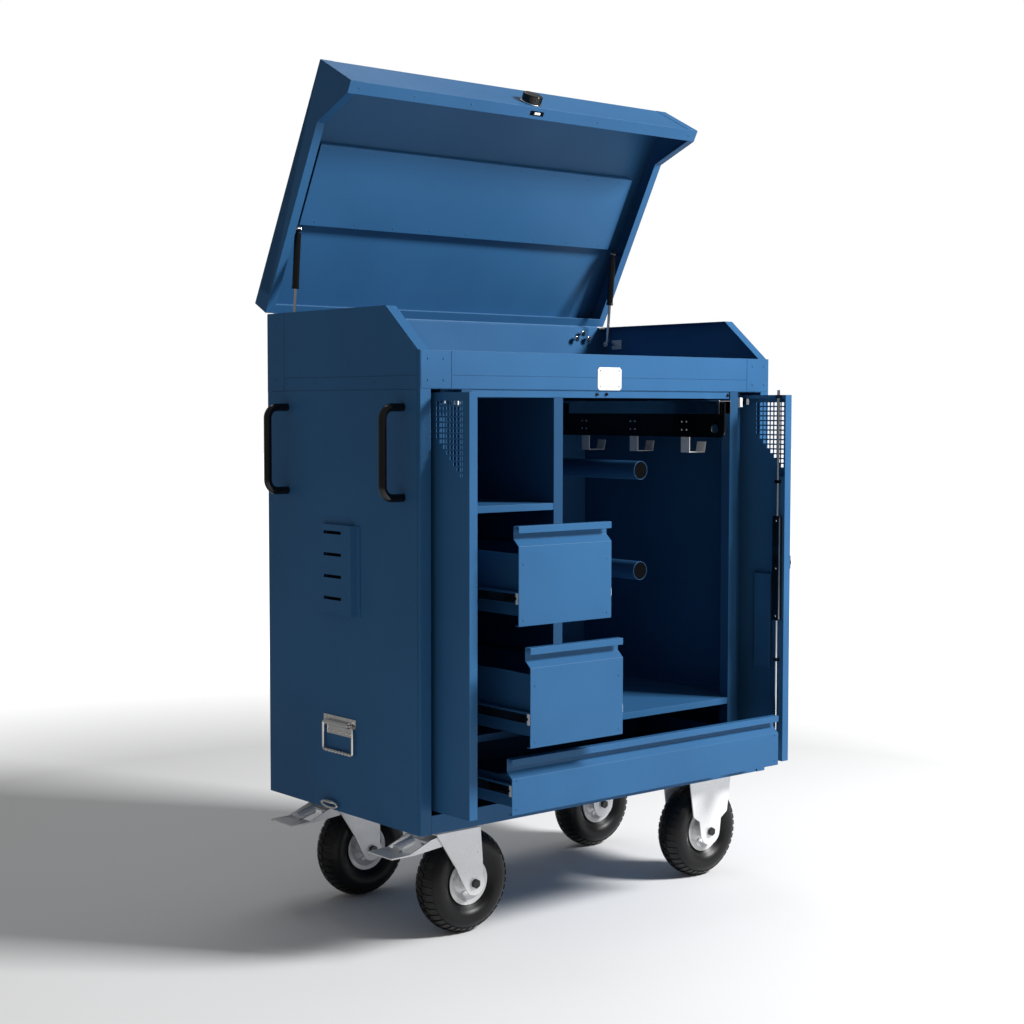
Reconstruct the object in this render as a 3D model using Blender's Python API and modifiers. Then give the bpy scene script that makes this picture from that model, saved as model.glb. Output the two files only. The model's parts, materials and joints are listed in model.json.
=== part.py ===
"""Rolling tool chest: a folded-sheet cabinet on four pneumatic castors, with a hinged lid on gas
struts, two pocket doors, three drawers, a locker with hanging tubes and a pull-out hook rail.

Lengths are metres, +Z is up. Every piece is drawn in the cabinet's own frame: X from the outside of
the left side, Y from the face of the front rail towards the back, Z from the ground. One empty,
chest_origin, then moves the chest so that the world origin is under the middle of its box.
"""

from math import cos, radians, sin

import bmesh
import bpy
from mathutils import Matrix, Vector

# --- driving dimensions ---------------------------------------------------------------------------
WIDTH = 1.200
DEPTH = 0.660
BODY_BOTTOM = 0.290
RAIL_LOW = BODY_BOTTOM + 1.053
RAIL_TOP = BODY_BOTTOM + 1.144
WING_TOP = BODY_BOTTOM + 1.252
SHEET = 0.002
GAP = 0.0005

POST_WIDTH = 0.031
WING_SLOPE_FRONT = 0.008
WING_SLOPE_BACK = 0.137
BASE_HEIGHT = 0.045

INNER_POST_LEFT = 0.122
POCKET_WALL_LEFT = 0.082
HEADER_LOW = BODY_BOTTOM + 1.0345
DIVIDER_LEFT = 0.413
DIVIDER_RIGHT = 0.443
LOWER_SHELF_TOP = BODY_BOTTOM + 0.221
COLUMN_SHELF_TOP = BODY_BOTTOM + 0.774
SHELF_LIP = 0.017
BACK_INSIDE = DEPTH - SHEET - GAP

DOOR_THICKNESS = 0.024
DOOR_WIDTH = 0.567
DOOR_LEFT_X = 0.046
DOOR_FRONT = -0.125
DOOR_BOTTOM = BODY_BOTTOM + 0.053
DOOR_TOP = BODY_BOTTOM + 1.045
DOOR_RIM = 0.025

DRAWER_OVERLAY = 0.016
DRAWER_GRIP_SET_BACK = 0.019
DRAWER_BOX_LENGTH = 0.500
RUNNER_WIDTH = 0.0125
RUNNER_HEIGHT = 0.028

LID_ANGLE = radians(62)
LID_HINGE_Y = DEPTH + 0.004
LID_HINGE_Z = BODY_BOTTOM + 1.248
LID_REAR = 0.004
LID_FRONT = 0.668
LID_TOP = 0.066
LID_SKIRT = 0.008
LID_FRONT_LOW = -0.084
LID_LIP_DEPTH = 0.032
LID_CHEEK_BACK = 0.5273
LID_FLANGE = 0.025
KNOB_DROP = -0.047

STRUT_INSET = 0.044
STRUT_FOOT_Y = 0.604
STRUT_FOOT_Z = BODY_BOTTOM + 1.200
STRUT_EYE_U = 0.234
STRUT_EYE_W = 0.029
STRUT_TUBE_LENGTH = 0.150
STRUT_TUBE_RADIUS = 0.009
STRUT_ROD_RADIUS = 0.004
STRUT_ROD_LENGTH = 0.150

WHEEL_RADIUS = 0.130
TYRE_HALF_WIDTH = 0.0425
BEAD_RADIUS = 0.0553
WHEEL_STEPS = 36
SWIVEL_WHEEL_X = 0.210
SWIVEL_TRAIL = 0.058
FIXED_WHEEL_X = 1.046
FRONT_WHEEL_Y = 0.113
REAR_WHEEL_Y = 0.547
FORK_INSIDE = 0.050
FORK_SHEET = 0.004
AXLE_RADIUS = 0.0095

HANDLE_REACH = 0.060
HANDLE_RADIUS = 0.010
HANDLE_BOTTOM = BODY_BOTTOM + 0.797
HANDLE_TOP = BODY_BOTTOM + 1.010
HANDLE_BEND = 0.028

TUBE_X = 0.780
TUBE_RADIUS = 0.025
HOOK_BAR_LEFT = 0.968
HOOK_BAR_FRONT = -0.0535

# --- the box's middle, which chest_origin puts on the world origin --------------------------------
LOWEST_X = -HANDLE_REACH - HANDLE_RADIUS
LOWER_DRAWER_Y = -0.235
HIGHEST_Y = LID_HINGE_Y - LID_REAR * cos(LID_ANGLE) + LID_TOP * sin(LID_ANGLE)
ORIGIN = Vector((-(WIDTH + LOWEST_X) / 2, -(HIGHEST_Y + LOWER_DRAWER_Y) / 2, 0.0))


# --- scene, collections, materials ----------------------------------------------------------------
for old in list(bpy.data.objects):
    bpy.data.objects.remove(old)


def collection(name):
    made = bpy.data.collections.new(name)
    bpy.context.scene.collection.children.link(made)
    return made


PIECES = collection("rolling_tool_chest")
CUTTERS = collection("cutters")


def material(name, colour, roughness, metallic=0.0):
    made = bpy.data.materials.new(name)
    made.use_nodes = True
    shader = made.node_tree.nodes["Principled BSDF"]
    shader.inputs["Base Color"].default_value = (*colour, 1.0)
    shader.inputs["Roughness"].default_value = roughness
    shader.inputs["Metallic"].default_value = metallic
    return made


BLUE = material("blue_powder_coat", (0.045, 0.165, 0.360), 0.45)
BLACK = material("black_enamel", (0.012, 0.012, 0.014), 0.25)
ZINC = material("zinc_plate", (0.72, 0.73, 0.75), 0.32, 0.9)
RUBBER = material("tyre_rubber", (0.015, 0.015, 0.016), 0.6)
WHITE = material("white_plate", (0.85, 0.86, 0.88), 0.35)


def empty(name, place, parent=None, turn=0.0):
    made = bpy.data.objects.new(name, None)
    made.empty_display_size = 0.05
    made.location = place
    made.rotation_euler = (turn, 0.0, 0.0)
    made.parent = parent
    PIECES.objects.link(made)
    return made


CHEST = empty("chest_origin", ORIGIN)
LID_PIVOT = empty("lid_pivot", (WIDTH / 2, LID_HINGE_Y, LID_HINGE_Z), CHEST, -LID_ANGLE)


# --- shape helpers --------------------------------------------------------------------------------
def add(name, mesh, finish, pivot=(0, 0, 0), parent=CHEST, smooth=False):
    """Links a mesh drawn in its parent's frame as an object whose origin is at pivot."""
    pivot = Vector(pivot)
    mesh.transform(Matrix.Translation(-pivot))
    if smooth:
        mesh.shade_smooth()
        mesh.set_sharp_from_angle(angle=radians(35))
    made = bpy.data.objects.new(name, mesh)
    made.location = pivot
    made.parent = parent
    if finish is None:
        CUTTERS.objects.link(made)
        made.hide_render = True
        made.display_type = "WIRE"
    else:
        mesh.materials.append(finish)
        PIECES.objects.link(made)
    return made


def to_mesh(name, shape):
    mesh = bpy.data.meshes.new(name)
    shape.to_mesh(mesh)
    shape.free()
    return mesh


def box_mesh(name, low, high):
    low, high = Vector(low), Vector(high)
    shape = bmesh.new()
    bmesh.ops.create_cube(shape, size=1.0)
    bmesh.ops.scale(shape, vec=high - low, verts=shape.verts)
    bmesh.ops.translate(shape, vec=(low + high) / 2, verts=shape.verts)
    return to_mesh(name, shape)


# Each axis letter gives the matrix that turns a drawing's X, Y and depth into the object's axes.
DRAWN_ALONG = {
    "X": Matrix(((0, 0, 1, 0), (1, 0, 0, 0), (0, 1, 0, 0), (0, 0, 0, 1))),
    "Y": Matrix(((1, 0, 0, 0), (0, 0, 1, 0), (0, 1, 0, 0), (0, 0, 0, 1))),
    "Z": Matrix(((1, 0, 0, 0), (0, 1, 0, 0), (0, 0, 1, 0), (0, 0, 0, 1))),
}


def prism_mesh(name, outline, axis, start, end):
    """A flat outline, as a filled 2D curve, made thick from start to end along the axis."""
    curve = bpy.data.curves.new(name, "CURVE")
    curve.dimensions = "2D"
    curve.fill_mode = "BOTH"
    curve.extrude = (end - start) / 2
    spline = curve.splines.new("POLY")
    spline.points.add(len(outline) - 1)
    for point, (a, b) in zip(spline.points, outline):
        point.co = (a, b, 0.0, 1.0)
    spline.use_cyclic_u = True
    mesh = curve_mesh(name, curve)
    mesh.transform(DRAWN_ALONG[axis] @ Matrix.Translation((0, 0, (start + end) / 2)))
    return outward(mesh)


def curve_mesh(name, curve):
    """The curve's own surface as a mesh, with its caps welded on."""
    guide = bpy.data.objects.new(name + "_guide", curve)
    bpy.context.scene.collection.objects.link(guide)
    bpy.context.view_layer.update()
    graph = bpy.context.evaluated_depsgraph_get()
    mesh = bpy.data.meshes.new_from_object(guide.evaluated_get(graph))
    bpy.data.objects.remove(guide)
    return mesh


def outward(mesh):
    shape = bmesh.new()
    shape.from_mesh(mesh)
    bmesh.ops.remove_doubles(shape, verts=shape.verts, dist=0.00001)
    bmesh.ops.recalc_face_normals(shape, faces=shape.faces)
    shape.to_mesh(mesh)
    shape.free()
    return mesh


def cylinder_mesh(name, start, end, radius, sides=24):
    start, end = Vector(start), Vector(end)
    along = end - start
    shape = bmesh.new()
    bmesh.ops.create_cone(
        shape, cap_ends=True, segments=sides, radius1=radius, radius2=radius, depth=along.length
    )
    turn = along.to_track_quat("Z", "Y").to_matrix().to_4x4()
    shape.transform(Matrix.Translation((start + end) / 2) @ turn)
    return to_mesh(name, shape)


def tube_mesh(name, points, radius):
    """A bent round bar along the points."""
    curve = bpy.data.curves.new(name, "CURVE")
    curve.dimensions = "3D"
    curve.bevel_depth = radius
    curve.bevel_resolution = 2
    curve.use_fill_caps = True
    spline = curve.splines.new("POLY")
    spline.points.add(len(points) - 1)
    for point, place in zip(spline.points, points):
        point.co = (*place, 1.0)
    return outward(curve_mesh(name, curve))


def combine(piece, how, *tools):
    """Cuts the tools from the piece, or joins them to it; each tool is a mesh in the same frame."""
    for number, mesh in enumerate(tools):
        frame = piece.parent
        tool = add(f"{piece.name}_{how.lower()}_{number}", mesh, None, piece.location, frame)
        change = piece.modifiers.new(tool.name, "BOOLEAN")
        change.operation = how
        change.solver = "EXACT"
        change.object = tool
    return piece


def cut(piece, *tools):
    return combine(piece, "DIFFERENCE", *tools)


def join(piece, *tools):
    return combine(piece, "UNION", *tools)


def folded_sheet(name, path, axis, start, end, finish, thickness=SHEET, parent=CHEST, pivot=(0, 0, 0)):
    """A sheet bent along the path, which runs down the middle of its thickness."""
    shape = bmesh.new()
    row = [shape.verts.new((a, b, start)) for a, b in path]
    edges = [shape.edges.new(pair) for pair in zip(row, row[1:])]
    swept = bmesh.ops.extrude_edge_only(shape, edges=edges)
    moved = [item for item in swept["geom"] if isinstance(item, bmesh.types.BMVert)]
    bmesh.ops.translate(shape, vec=(0, 0, end - start), verts=moved)
    shape.transform(DRAWN_ALONG[axis])
    piece = add(name, to_mesh(name, shape), finish, pivot, parent)
    wall = piece.modifiers.new("sheet", "SOLIDIFY")
    wall.thickness = thickness
    wall.offset = 0.0
    wall.use_even_offset = True
    return piece


def arc(centre, radius, start, end, steps):
    """Points on an arc, with the angles in degrees."""
    angles = [radians(start + (end - start) * step / steps) for step in range(steps + 1)]
    return [(centre[0] + radius * cos(a), centre[1] + radius * sin(a)) for a in angles]


def mirrored(low_x, high_x, right):
    """A span across the chest, or the same span seen from the right-hand side."""
    return (WIDTH - high_x, WIDTH - low_x) if right else (low_x, high_x)


# --- cabinet --------------------------------------------------------------------------------------
def side_panel(name, right):
    """A side with its wing: the sheet, its front post and the flanges along the top and the slope."""
    outline = [
        (0.0, BODY_BOTTOM),
        (DEPTH, BODY_BOTTOM),
        (DEPTH, WING_TOP),
        (WING_SLOPE_BACK, WING_TOP),
        (WING_SLOPE_FRONT, RAIL_TOP),
        (0.0, RAIL_TOP),
    ]
    hollow = [
        (SHEET, BODY_BOTTOM + SHEET),
        (DEPTH + SHEET, BODY_BOTTOM + SHEET),
        (DEPTH + SHEET, WING_TOP - SHEET),
        (WING_SLOPE_BACK + SHEET / 2, WING_TOP - SHEET),
        (WING_SLOPE_FRONT + SHEET / 2, RAIL_TOP - SHEET),
        (SHEET, RAIL_TOP - SHEET),
    ]
    block = prism_mesh(name, outline, "X", *mirrored(0.0, POST_WIDTH, right))
    space = prism_mesh(name, hollow, "X", *mirrored(SHEET, POST_WIDTH + SHEET, right))
    return cut(add(name, block, BLUE), space)


def base_pan():
    low = (POST_WIDTH + SHEET, SHEET + GAP, BODY_BOTTOM)
    high = (WIDTH - POST_WIDTH - SHEET, BACK_INSIDE, BODY_BOTTOM + BASE_HEIGHT)
    inset = Vector((SHEET, SHEET, SHEET))
    pan = add("base_pan", box_mesh("base_pan", low, high), BLUE)
    space = box_mesh("pan", Vector(low) + inset, Vector(high) - inset + Vector((0, 0, 0.02)))
    return cut(pan, space)


def cabinet_sheets():
    edge = SHEET + GAP
    back_low = (edge, DEPTH - SHEET, BODY_BOTTOM + edge)
    back_high = (WIDTH - edge, DEPTH, WING_TOP - edge)
    add("back_panel", box_mesh("back_panel", back_low, back_high), BLUE)
    tray_low = (edge, edge, RAIL_LOW + edge)
    tray_high = (WIDTH - edge, BACK_INSIDE, RAIL_LOW + edge + SHEET)
    add("top_tray", box_mesh("top_tray", tray_low, tray_high), BLUE)


def front_rail():
    """A channel across the front, with a header strip between the inner posts under it."""
    half = SHEET / 2
    path = [
        (0.034, RAIL_TOP - half),
        (half, RAIL_TOP - half),
        (half, RAIL_LOW + half),
        (0.050, RAIL_LOW + half),
    ]
    span = (POST_WIDTH + GAP, WIDTH - POST_WIDTH - GAP)
    rail = folded_sheet("front_rail", path, "X", *span, BLUE)
    opening = INNER_POST_LEFT + POST_WIDTH + GAP
    strip_low = (opening, SHEET + half, HEADER_LOW)
    strip_high = (WIDTH - opening, 2 * SHEET + half, RAIL_LOW + half)
    return join(rail, box_mesh("header", strip_low, strip_high))


def pocket_wall(name, right):
    """The inner wall beside a door pocket, bent at its front into a post."""
    half = SHEET / 2
    post_back = 0.030
    post_right = INNER_POST_LEFT + POST_WIDTH
    path = [
        (post_right - half, post_back),
        (post_right - half, half),
        (INNER_POST_LEFT + half, half),
        (INNER_POST_LEFT + half, post_back),
        (POCKET_WALL_LEFT, post_back),
        (POCKET_WALL_LEFT, BACK_INSIDE - GAP),
    ]
    if right:
        path = [(WIDTH - x, y) for x, y in path]
    return folded_sheet(name, path, "Z", BODY_BOTTOM + BASE_HEIGHT + GAP, RAIL_LOW - GAP, BLUE)


def divider():
    half = SHEET / 2
    path = [
        (DIVIDER_RIGHT - half, BACK_INSIDE - GAP),
        (DIVIDER_RIGHT - half, half),
        (DIVIDER_LEFT + half, half),
        (DIVIDER_LEFT + half, BACK_INSIDE - GAP),
    ]
    return folded_sheet("divider", path, "Z", LOWER_SHELF_TOP + GAP, HEADER_LOW - GAP, BLUE)


def shelf(name, top, right_edge, notched_right):
    """A shelf that reaches both walls, notched round the inner posts, with a lip in front."""
    wall = POCKET_WALL_LEFT + SHEET / 2 + GAP
    post = INNER_POST_LEFT + POST_WIDTH + GAP
    post_back = 0.0325
    low = Vector((wall, 0.0, top - SHELF_LIP))
    high = Vector((right_edge, BACK_INSIDE - GAP, top))
    plate = add(name, box_mesh(name, low, high), BLUE)
    beyond = Vector((SHEET, SHEET, SHEET))
    cut(plate, box_mesh("notch", low - beyond, (post, post_back, top + SHEET)))
    if notched_right:
        notch_low = (WIDTH - post, -SHEET, low.z - SHEET)
        cut(plate, box_mesh("notch", notch_low, (right_edge + SHEET, post_back, top + SHEET)))
    under_low = (wall - SHEET, SHEET, low.z - SHEET)
    under_high = (right_edge + SHEET, DEPTH, top - SHEET)
    return cut(plate, box_mesh("under", under_low, under_high))


# --- doors, which slide back into the pockets -----------------------------------------------------
def door(name, right):
    """A folded door: outer skin, returned edges and a rim, open on its inner face."""

    def slab(skin, rim, depth_low, depth_high):
        near, far = DOOR_LEFT_X + depth_low, DOOR_LEFT_X + depth_high
        x_low, x_high = mirrored(near, far, right)
        low = (x_low, DOOR_FRONT + rim, DOOR_BOTTOM + rim)
        high = (x_high, DOOR_FRONT + DOOR_WIDTH - rim, DOOR_TOP - rim)
        return box_mesh(name + skin, low, high)

    piece = add(name, slab("_skin", 0.0, 0.0, DOOR_THICKNESS), BLUE)
    space = slab("_space", SHEET, SHEET, DOOR_THICKNESS - SHEET)
    mouth = slab("_mouth", DOOR_RIM, DOOR_THICKNESS / 2, DOOR_THICKNESS + SHEET)
    return cut(piece, space, mouth)


LOCK_Y = -0.105
LOCK_ROD_X = 1.1238
LOCK_LOW = BODY_BOTTOM + 0.437
LOCK_HIGH = BODY_BOTTOM + 0.719
LOCK_KNOB_Z = BODY_BOTTOM + 0.592


def door_lock():
    """A rod lock on the right door: case and two rods inside, turning knob outside."""
    inner_face = WIDTH - DOOR_LEFT_X - DOOR_THICKNESS
    outer_face = WIDTH - DOOR_LEFT_X
    low = (inner_face - 0.012, LOCK_Y - 0.013, LOCK_LOW)
    high = (inner_face - GAP, LOCK_Y + 0.013, LOCK_HIGH)
    add("lock_case", box_mesh("lock_case", low, high), BLACK)
    for name, low_z, high_z in (
        ("lock_rod_upper", LOCK_HIGH + GAP, BODY_BOTTOM + 1.058),
        ("lock_rod_lower", BODY_BOTTOM + 0.058, LOCK_LOW - GAP),
    ):
        ends = (LOCK_ROD_X, LOCK_Y, low_z), (LOCK_ROD_X, LOCK_Y, high_z)
        add(name, cylinder_mesh(name, *ends, 0.004, 12), ZINC, ends[0], smooth=True)
    start = (outer_face + GAP, LOCK_Y, LOCK_KNOB_Z)
    end = (outer_face + 0.012, LOCK_Y, LOCK_KNOB_Z)
    knob = add("lock_knob", cylinder_mesh("lock_knob", start, end, 0.014), BLACK, start, smooth=True)
    grip_low = (outer_face + 0.010, LOCK_Y - 0.005, LOCK_KNOB_Z - 0.018)
    grip_high = (outer_face + 0.020, LOCK_Y + 0.005, LOCK_KNOB_Z + 0.018)
    join(knob, box_mesh("grip", grip_low, grip_high))


# --- drawers --------------------------------------------------------------------------------------
def drawer(name, front_y, low_z, face_height, left_x, right_x, box_low, box_height):
    """A folded front with a grip along its top, and an open box on two runners behind it."""
    half = SHEET / 2
    grip_y = front_y + DRAWER_GRIP_SET_BACK
    lean_top = low_z + face_height + 0.016
    top = low_z + face_height + 0.047
    path = [
        (front_y + 0.012, low_z + half),
        (front_y + half, low_z + half),
        (front_y + half, low_z + face_height),
        (grip_y, lean_top),
        (grip_y, top - half),
        (front_y + half, top - half),
        (front_y + half, top - 0.016),
    ]
    span = (left_x - DRAWER_OVERLAY, right_x + DRAWER_OVERLAY)
    folded_sheet(name + "_front", path, "X", *span, BLUE, pivot=(span[0], front_y, low_z))
    side_room = RUNNER_WIDTH + 2 * GAP
    low = Vector((left_x + side_room, front_y + SHEET + GAP, low_z + box_low))
    high = Vector((right_x - side_room, low.y + DRAWER_BOX_LENGTH, low.z + box_height))
    body = add(name + "_box", box_mesh(name, low, high), BLUE, low)
    wall = Vector((SHEET, SHEET, SHEET))
    cut(body, box_mesh(name, low + wall, high - wall + Vector((0, 0, 0.02))))
    runner_low = low.z + 0.030
    for x_low, x_high in (
        (low.x - RUNNER_WIDTH, low.x + half),
        (high.x - half, high.x + RUNNER_WIDTH),
    ):
        runner = (x_low, low.y + half, runner_low), (x_high, high.y - 0.020, runner_low + RUNNER_HEIGHT)
        join(body, box_mesh(name, *runner))


# --- lid and gas struts ---------------------------------------------------------------------------
def lid_point(forward, up):
    """A point of the lid's section, from the hinge axis with the lid shut."""
    return (-forward, up)


def lid():
    """A shallow box with sloped cheeks: skin all round, flanges inwards along its open underside."""
    outline = [
        lid_point(LID_REAR, LID_SKIRT),
        lid_point(LID_REAR, LID_TOP),
        lid_point(LID_FRONT, LID_TOP),
        lid_point(LID_FRONT, LID_FRONT_LOW),
        lid_point(LID_FRONT - LID_LIP_DEPTH, LID_FRONT_LOW),
        lid_point(LID_CHEEK_BACK, LID_SKIRT),
    ]
    hollow = [
        lid_point(LID_REAR + SHEET, LID_SKIRT + SHEET),
        lid_point(LID_REAR + SHEET, LID_TOP - SHEET),
        lid_point(LID_FRONT - SHEET, LID_TOP - SHEET),
        lid_point(LID_FRONT - SHEET, LID_FRONT_LOW + SHEET),
        lid_point(LID_FRONT - LID_LIP_DEPTH + SHEET / 2, LID_FRONT_LOW + SHEET),
        lid_point(LID_CHEEK_BACK + SHEET / 2, LID_SKIRT + SHEET),
    ]
    half = WIDTH / 2
    lip = LID_FRONT - LID_LIP_DEPTH
    mouth = [
        lid_point(LID_REAR + LID_FLANGE, LID_SKIRT + 2 * SHEET),
        lid_point(LID_CHEEK_BACK, LID_SKIRT + 5 * SHEET),
        lid_point(lip, LID_FRONT_LOW + 3 * SHEET),
        lid_point(lip, LID_FRONT_LOW - SHEET),
        lid_point(lip - 0.010, LID_FRONT_LOW - 2 * SHEET),
        lid_point(LID_REAR + LID_FLANGE, LID_SKIRT - 2 * SHEET),
    ]
    shell = add("lid_shell", prism_mesh("lid_shell", outline, "X", -half, half), BLUE, parent=LID_PIVOT)
    cut(
        shell,
        prism_mesh("space", hollow, "X", SHEET - half, half - SHEET),
        prism_mesh("mouth", mouth, "X", LID_FLANGE - half, half - LID_FLANGE),
    )
    liner = [
        lid_point(0.241, LID_TOP - SHEET - GAP),
        lid_point(0.241, 0.045),
        lid_point(0.459, 0.045),
        lid_point(0.459, LID_TOP - SHEET - GAP),
    ]
    liner_reach = half - 0.055
    folded_sheet("lid_liner", liner, "X", -liner_reach, liner_reach, BLUE, parent=LID_PIVOT)
    start = (0.0, -LID_FRONT - GAP, KNOB_DROP)
    end = (0.0, -LID_FRONT - 0.024, KNOB_DROP)
    knob = cylinder_mesh("lid_knob", start, end, 0.026)
    add("lid_knob", knob, BLACK, start, LID_PIVOT, smooth=True)


def lid_to_chest(forward, up):
    """Where a point of the open lid's section is, as Y and Z of the chest."""
    y = LID_HINGE_Y - forward * cos(LID_ANGLE) + up * sin(LID_ANGLE)
    z = LID_HINGE_Z + forward * sin(LID_ANGLE) + up * cos(LID_ANGLE)
    return y, z


def gas_strut(side, x):
    """A rod pinned to the cabinet that slides in a tube whose eye is at the lid."""
    foot = Vector((x, STRUT_FOOT_Y, STRUT_FOOT_Z))
    eye = Vector((x, *lid_to_chest(STRUT_EYE_U, STRUT_EYE_W)))
    along = (eye - foot).normalized()
    across = Vector((0.005, 0.0, 0.0))
    rod_end = foot + along * STRUT_ROD_LENGTH
    rod_name, tube_name = f"strut_rod_{side}", f"strut_tube_{side}"
    rod = cylinder_mesh(rod_name, foot, rod_end, STRUT_ROD_RADIUS, 16)
    rod = add(rod_name, rod, ZINC, foot, smooth=True)
    join(rod, cylinder_mesh(rod_name, foot - across, foot + across, 0.0075, 16))
    mouth = eye - along * STRUT_TUBE_LENGTH
    tube = cylinder_mesh(tube_name, mouth, eye - along * 0.010, STRUT_TUBE_RADIUS, 20)
    tube = add(tube_name, tube, BLACK, eye, smooth=True)
    bore = mouth - along * 0.005, eye - along * 0.020
    cut(tube, cylinder_mesh(tube_name, *bore, STRUT_ROD_RADIUS + 0.001, 16))
    neck = cylinder_mesh(tube_name, eye - along * 0.012, eye, 0.004, 12)
    join(tube, neck, cylinder_mesh(tube_name, eye - across, eye + across, 0.0075, 16))


# --- fittings on the left side --------------------------------------------------------------------
def push_handle(name, y):
    """A bow handle: two legs out of the side joined by a straight grip, its corners bent round."""
    corner_x = -HANDLE_REACH + HANDLE_BEND
    low = arc((corner_x, HANDLE_BOTTOM + HANDLE_BEND), HANDLE_BEND, 270, 180, 5)
    high = arc((corner_x, HANDLE_TOP - HANDLE_BEND), HANDLE_BEND, 180, 90, 5)
    path = [(-GAP, HANDLE_BOTTOM), *low, *high, (-GAP, HANDLE_TOP)]
    points = [(x, y, z) for x, z in path]
    add(name, tube_mesh(name, points, HANDLE_RADIUS), BLACK, smooth=True)


def vent_cover():
    """A raised cover, open at its back, with a thicker front edge and four air slots."""
    low_z, high_z = BODY_BOTTOM + 0.497, BODY_BOTTOM + 0.720
    outline = [
        (-GAP, 0.243),
        (-0.003, 0.243),
        (-0.003, 0.263),
        (-0.014, 0.266),
        (-0.014, 0.291),
        (-0.010, 0.296),
        (-0.010, 0.398),
        (-GAP, 0.398),
    ]
    plate = add("vent_cover", prism_mesh("vent_cover", outline, "Z", low_z, high_z), BLUE)
    inside_low = (-0.010 + SHEET, 0.266 + SHEET, low_z + SHEET)
    inside_high = (SHEET, 0.398 - SHEET, high_z - SHEET)
    cut(plate, box_mesh("vent_inside", inside_low, inside_high))
    for number in range(4):
        slot_z = BODY_BOTTOM + 0.536 + 0.0547 * number
        low, high = (-0.012, 0.313, slot_z - 0.004), (-0.006, 0.390, slot_z + 0.004)
        cut(plate, box_mesh("slot", low, high))


CHEST_HANDLE_Y = 0.333
CHEST_HANDLE_Z = BODY_BOTTOM + 0.224
BAIL_X = -0.0085


def chest_handle():
    """A drop handle: a riveted plate with a rolled eye, and a bail that hangs from it."""
    y, z = CHEST_HANDLE_Y, CHEST_HANDLE_Z
    upper = box_mesh("upper", (-0.003, y - 0.070, z - 0.006), (-GAP, y + 0.070, z + 0.017))
    plate = add("chest_handle_plate", upper, ZINC)
    join(plate, box_mesh("lower", (-0.0028, y - 0.056, z - 0.030), (-GAP - 0.0002, y + 0.056, z)))
    join(plate, cylinder_mesh("roll", (BAIL_X, y - 0.050, z), (BAIL_X, y + 0.050, z), 0.0075, 16))
    bore_ends = (BAIL_X, y - 0.055, z), (BAIL_X, y + 0.055, z)
    cut(plate, cylinder_mesh("roll_bore", *bore_ends, 0.0045, 16))
    drop = z - 0.072
    reach = 0.064
    flat = [
        (-0.044, z),
        (-reach, z),
        (-reach, drop + 0.012),
        (-reach + 0.012, drop),
        (reach - 0.012, drop),
        (reach, drop + 0.012),
        (reach, z),
        (0.044, z),
    ]
    points = [(BAIL_X, y + along, height) for along, height in flat]
    add("chest_handle_bail", tube_mesh("bail", points, 0.0035), ZINC, (BAIL_X, y, z), smooth=True)


# --- locker fittings ------------------------------------------------------------------------------
def hanging_tube(name, z):
    ends = (TUBE_X, 0.073, z), (TUBE_X, BACK_INSIDE, z)
    add(name, cylinder_mesh(name, *ends, TUBE_RADIUS, 28), BLUE, smooth=True)


HOOK_BAR_THICKNESS = 0.005
HOOK_WIDTH = 0.033
HOOK_THICKNESS = 0.0025


def hook_rail():
    """A fixed track under the tray, a channel that runs on it, and a bar with hooks in the channel."""
    half = SHEET / 2
    left, right = HOOK_BAR_LEFT - 0.004, HOOK_BAR_LEFT + 0.039
    low, high = BODY_BOTTOM + 0.994, BODY_BOTTOM + 1.029
    track_low = (left + 0.008, 0.052, high + 0.002)
    track_high = (right - 0.001, 0.600, RAIL_LOW + SHEET)
    add("hook_rail_track", box_mesh("track", track_low, track_high), BLACK)
    path = [(left, low), (left, high - half), (right, high - half), (right, low)]
    folded_sheet("hook_rail_slide", path, "Y", HOOK_BAR_FRONT + 0.0145, 0.560, ZINC)
    bar_low, bar_high = BODY_BOTTOM + 0.931, high - 0.005
    corner = arc((HOOK_BAR_FRONT + 0.015, bar_low + 0.015), 0.015, 180, 270, 5)
    outline = [*corner, (0.590, bar_low), (0.590, bar_high), (HOOK_BAR_FRONT, bar_high)]
    span = (HOOK_BAR_LEFT, HOOK_BAR_LEFT + HOOK_BAR_THICKNESS)
    bar = add("hook_rail_bar", prism_mesh("bar", outline, "X", *span), BLACK)
    hole_y, hole_z = HOOK_BAR_FRONT + 0.0355, BODY_BOTTOM + 0.955
    hole = (span[0] - 0.005, hole_y, hole_z), (span[1] + 0.005, hole_y, hole_z)
    cut(bar, cylinder_mesh("finger_hole", *hole, 0.012, 20))
    leg_x = span[1] + GAP + HOOK_THICKNESS / 2
    for number in range(3):
        near = 0.080 + 0.201 * number
        path = [
            (leg_x, BODY_BOTTOM + 0.985),
            (leg_x, BODY_BOTTOM + 0.890),
            (leg_x + 0.058, BODY_BOTTOM + 0.890),
            (leg_x + 0.064, BODY_BOTTOM + 0.918),
        ]
        name = f"hook_{number + 1}"
        folded_sheet(name, path, "Y", near, near + HOOK_WIDTH, ZINC, HOOK_THICKNESS)


def name_plate():
    """A blank plate on the front rail with its corners clipped."""
    left, right, low, high, clip = 0.559, 0.641, BODY_BOTTOM + 1.054, BODY_BOTTOM + 1.112, 0.006
    outline = [
        (left + clip, low),
        (right - clip, low),
        (right, low + clip),
        (right, high - clip),
        (right - clip, high),
        (left + clip, high),
        (left, high - clip),
        (left, low + clip),
    ]
    add("name_plate", prism_mesh("name_plate", outline, "Y", -0.0018, -GAP), WHITE)


# --- castors --------------------------------------------------------------------------------------
PLATE_TOP = BODY_BOTTOM - GAP
PLATE_LOW = PLATE_TOP - 0.006
CUP_LOW = BODY_BOTTOM - 0.020
CROWN_TOP = CUP_LOW - GAP


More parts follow.
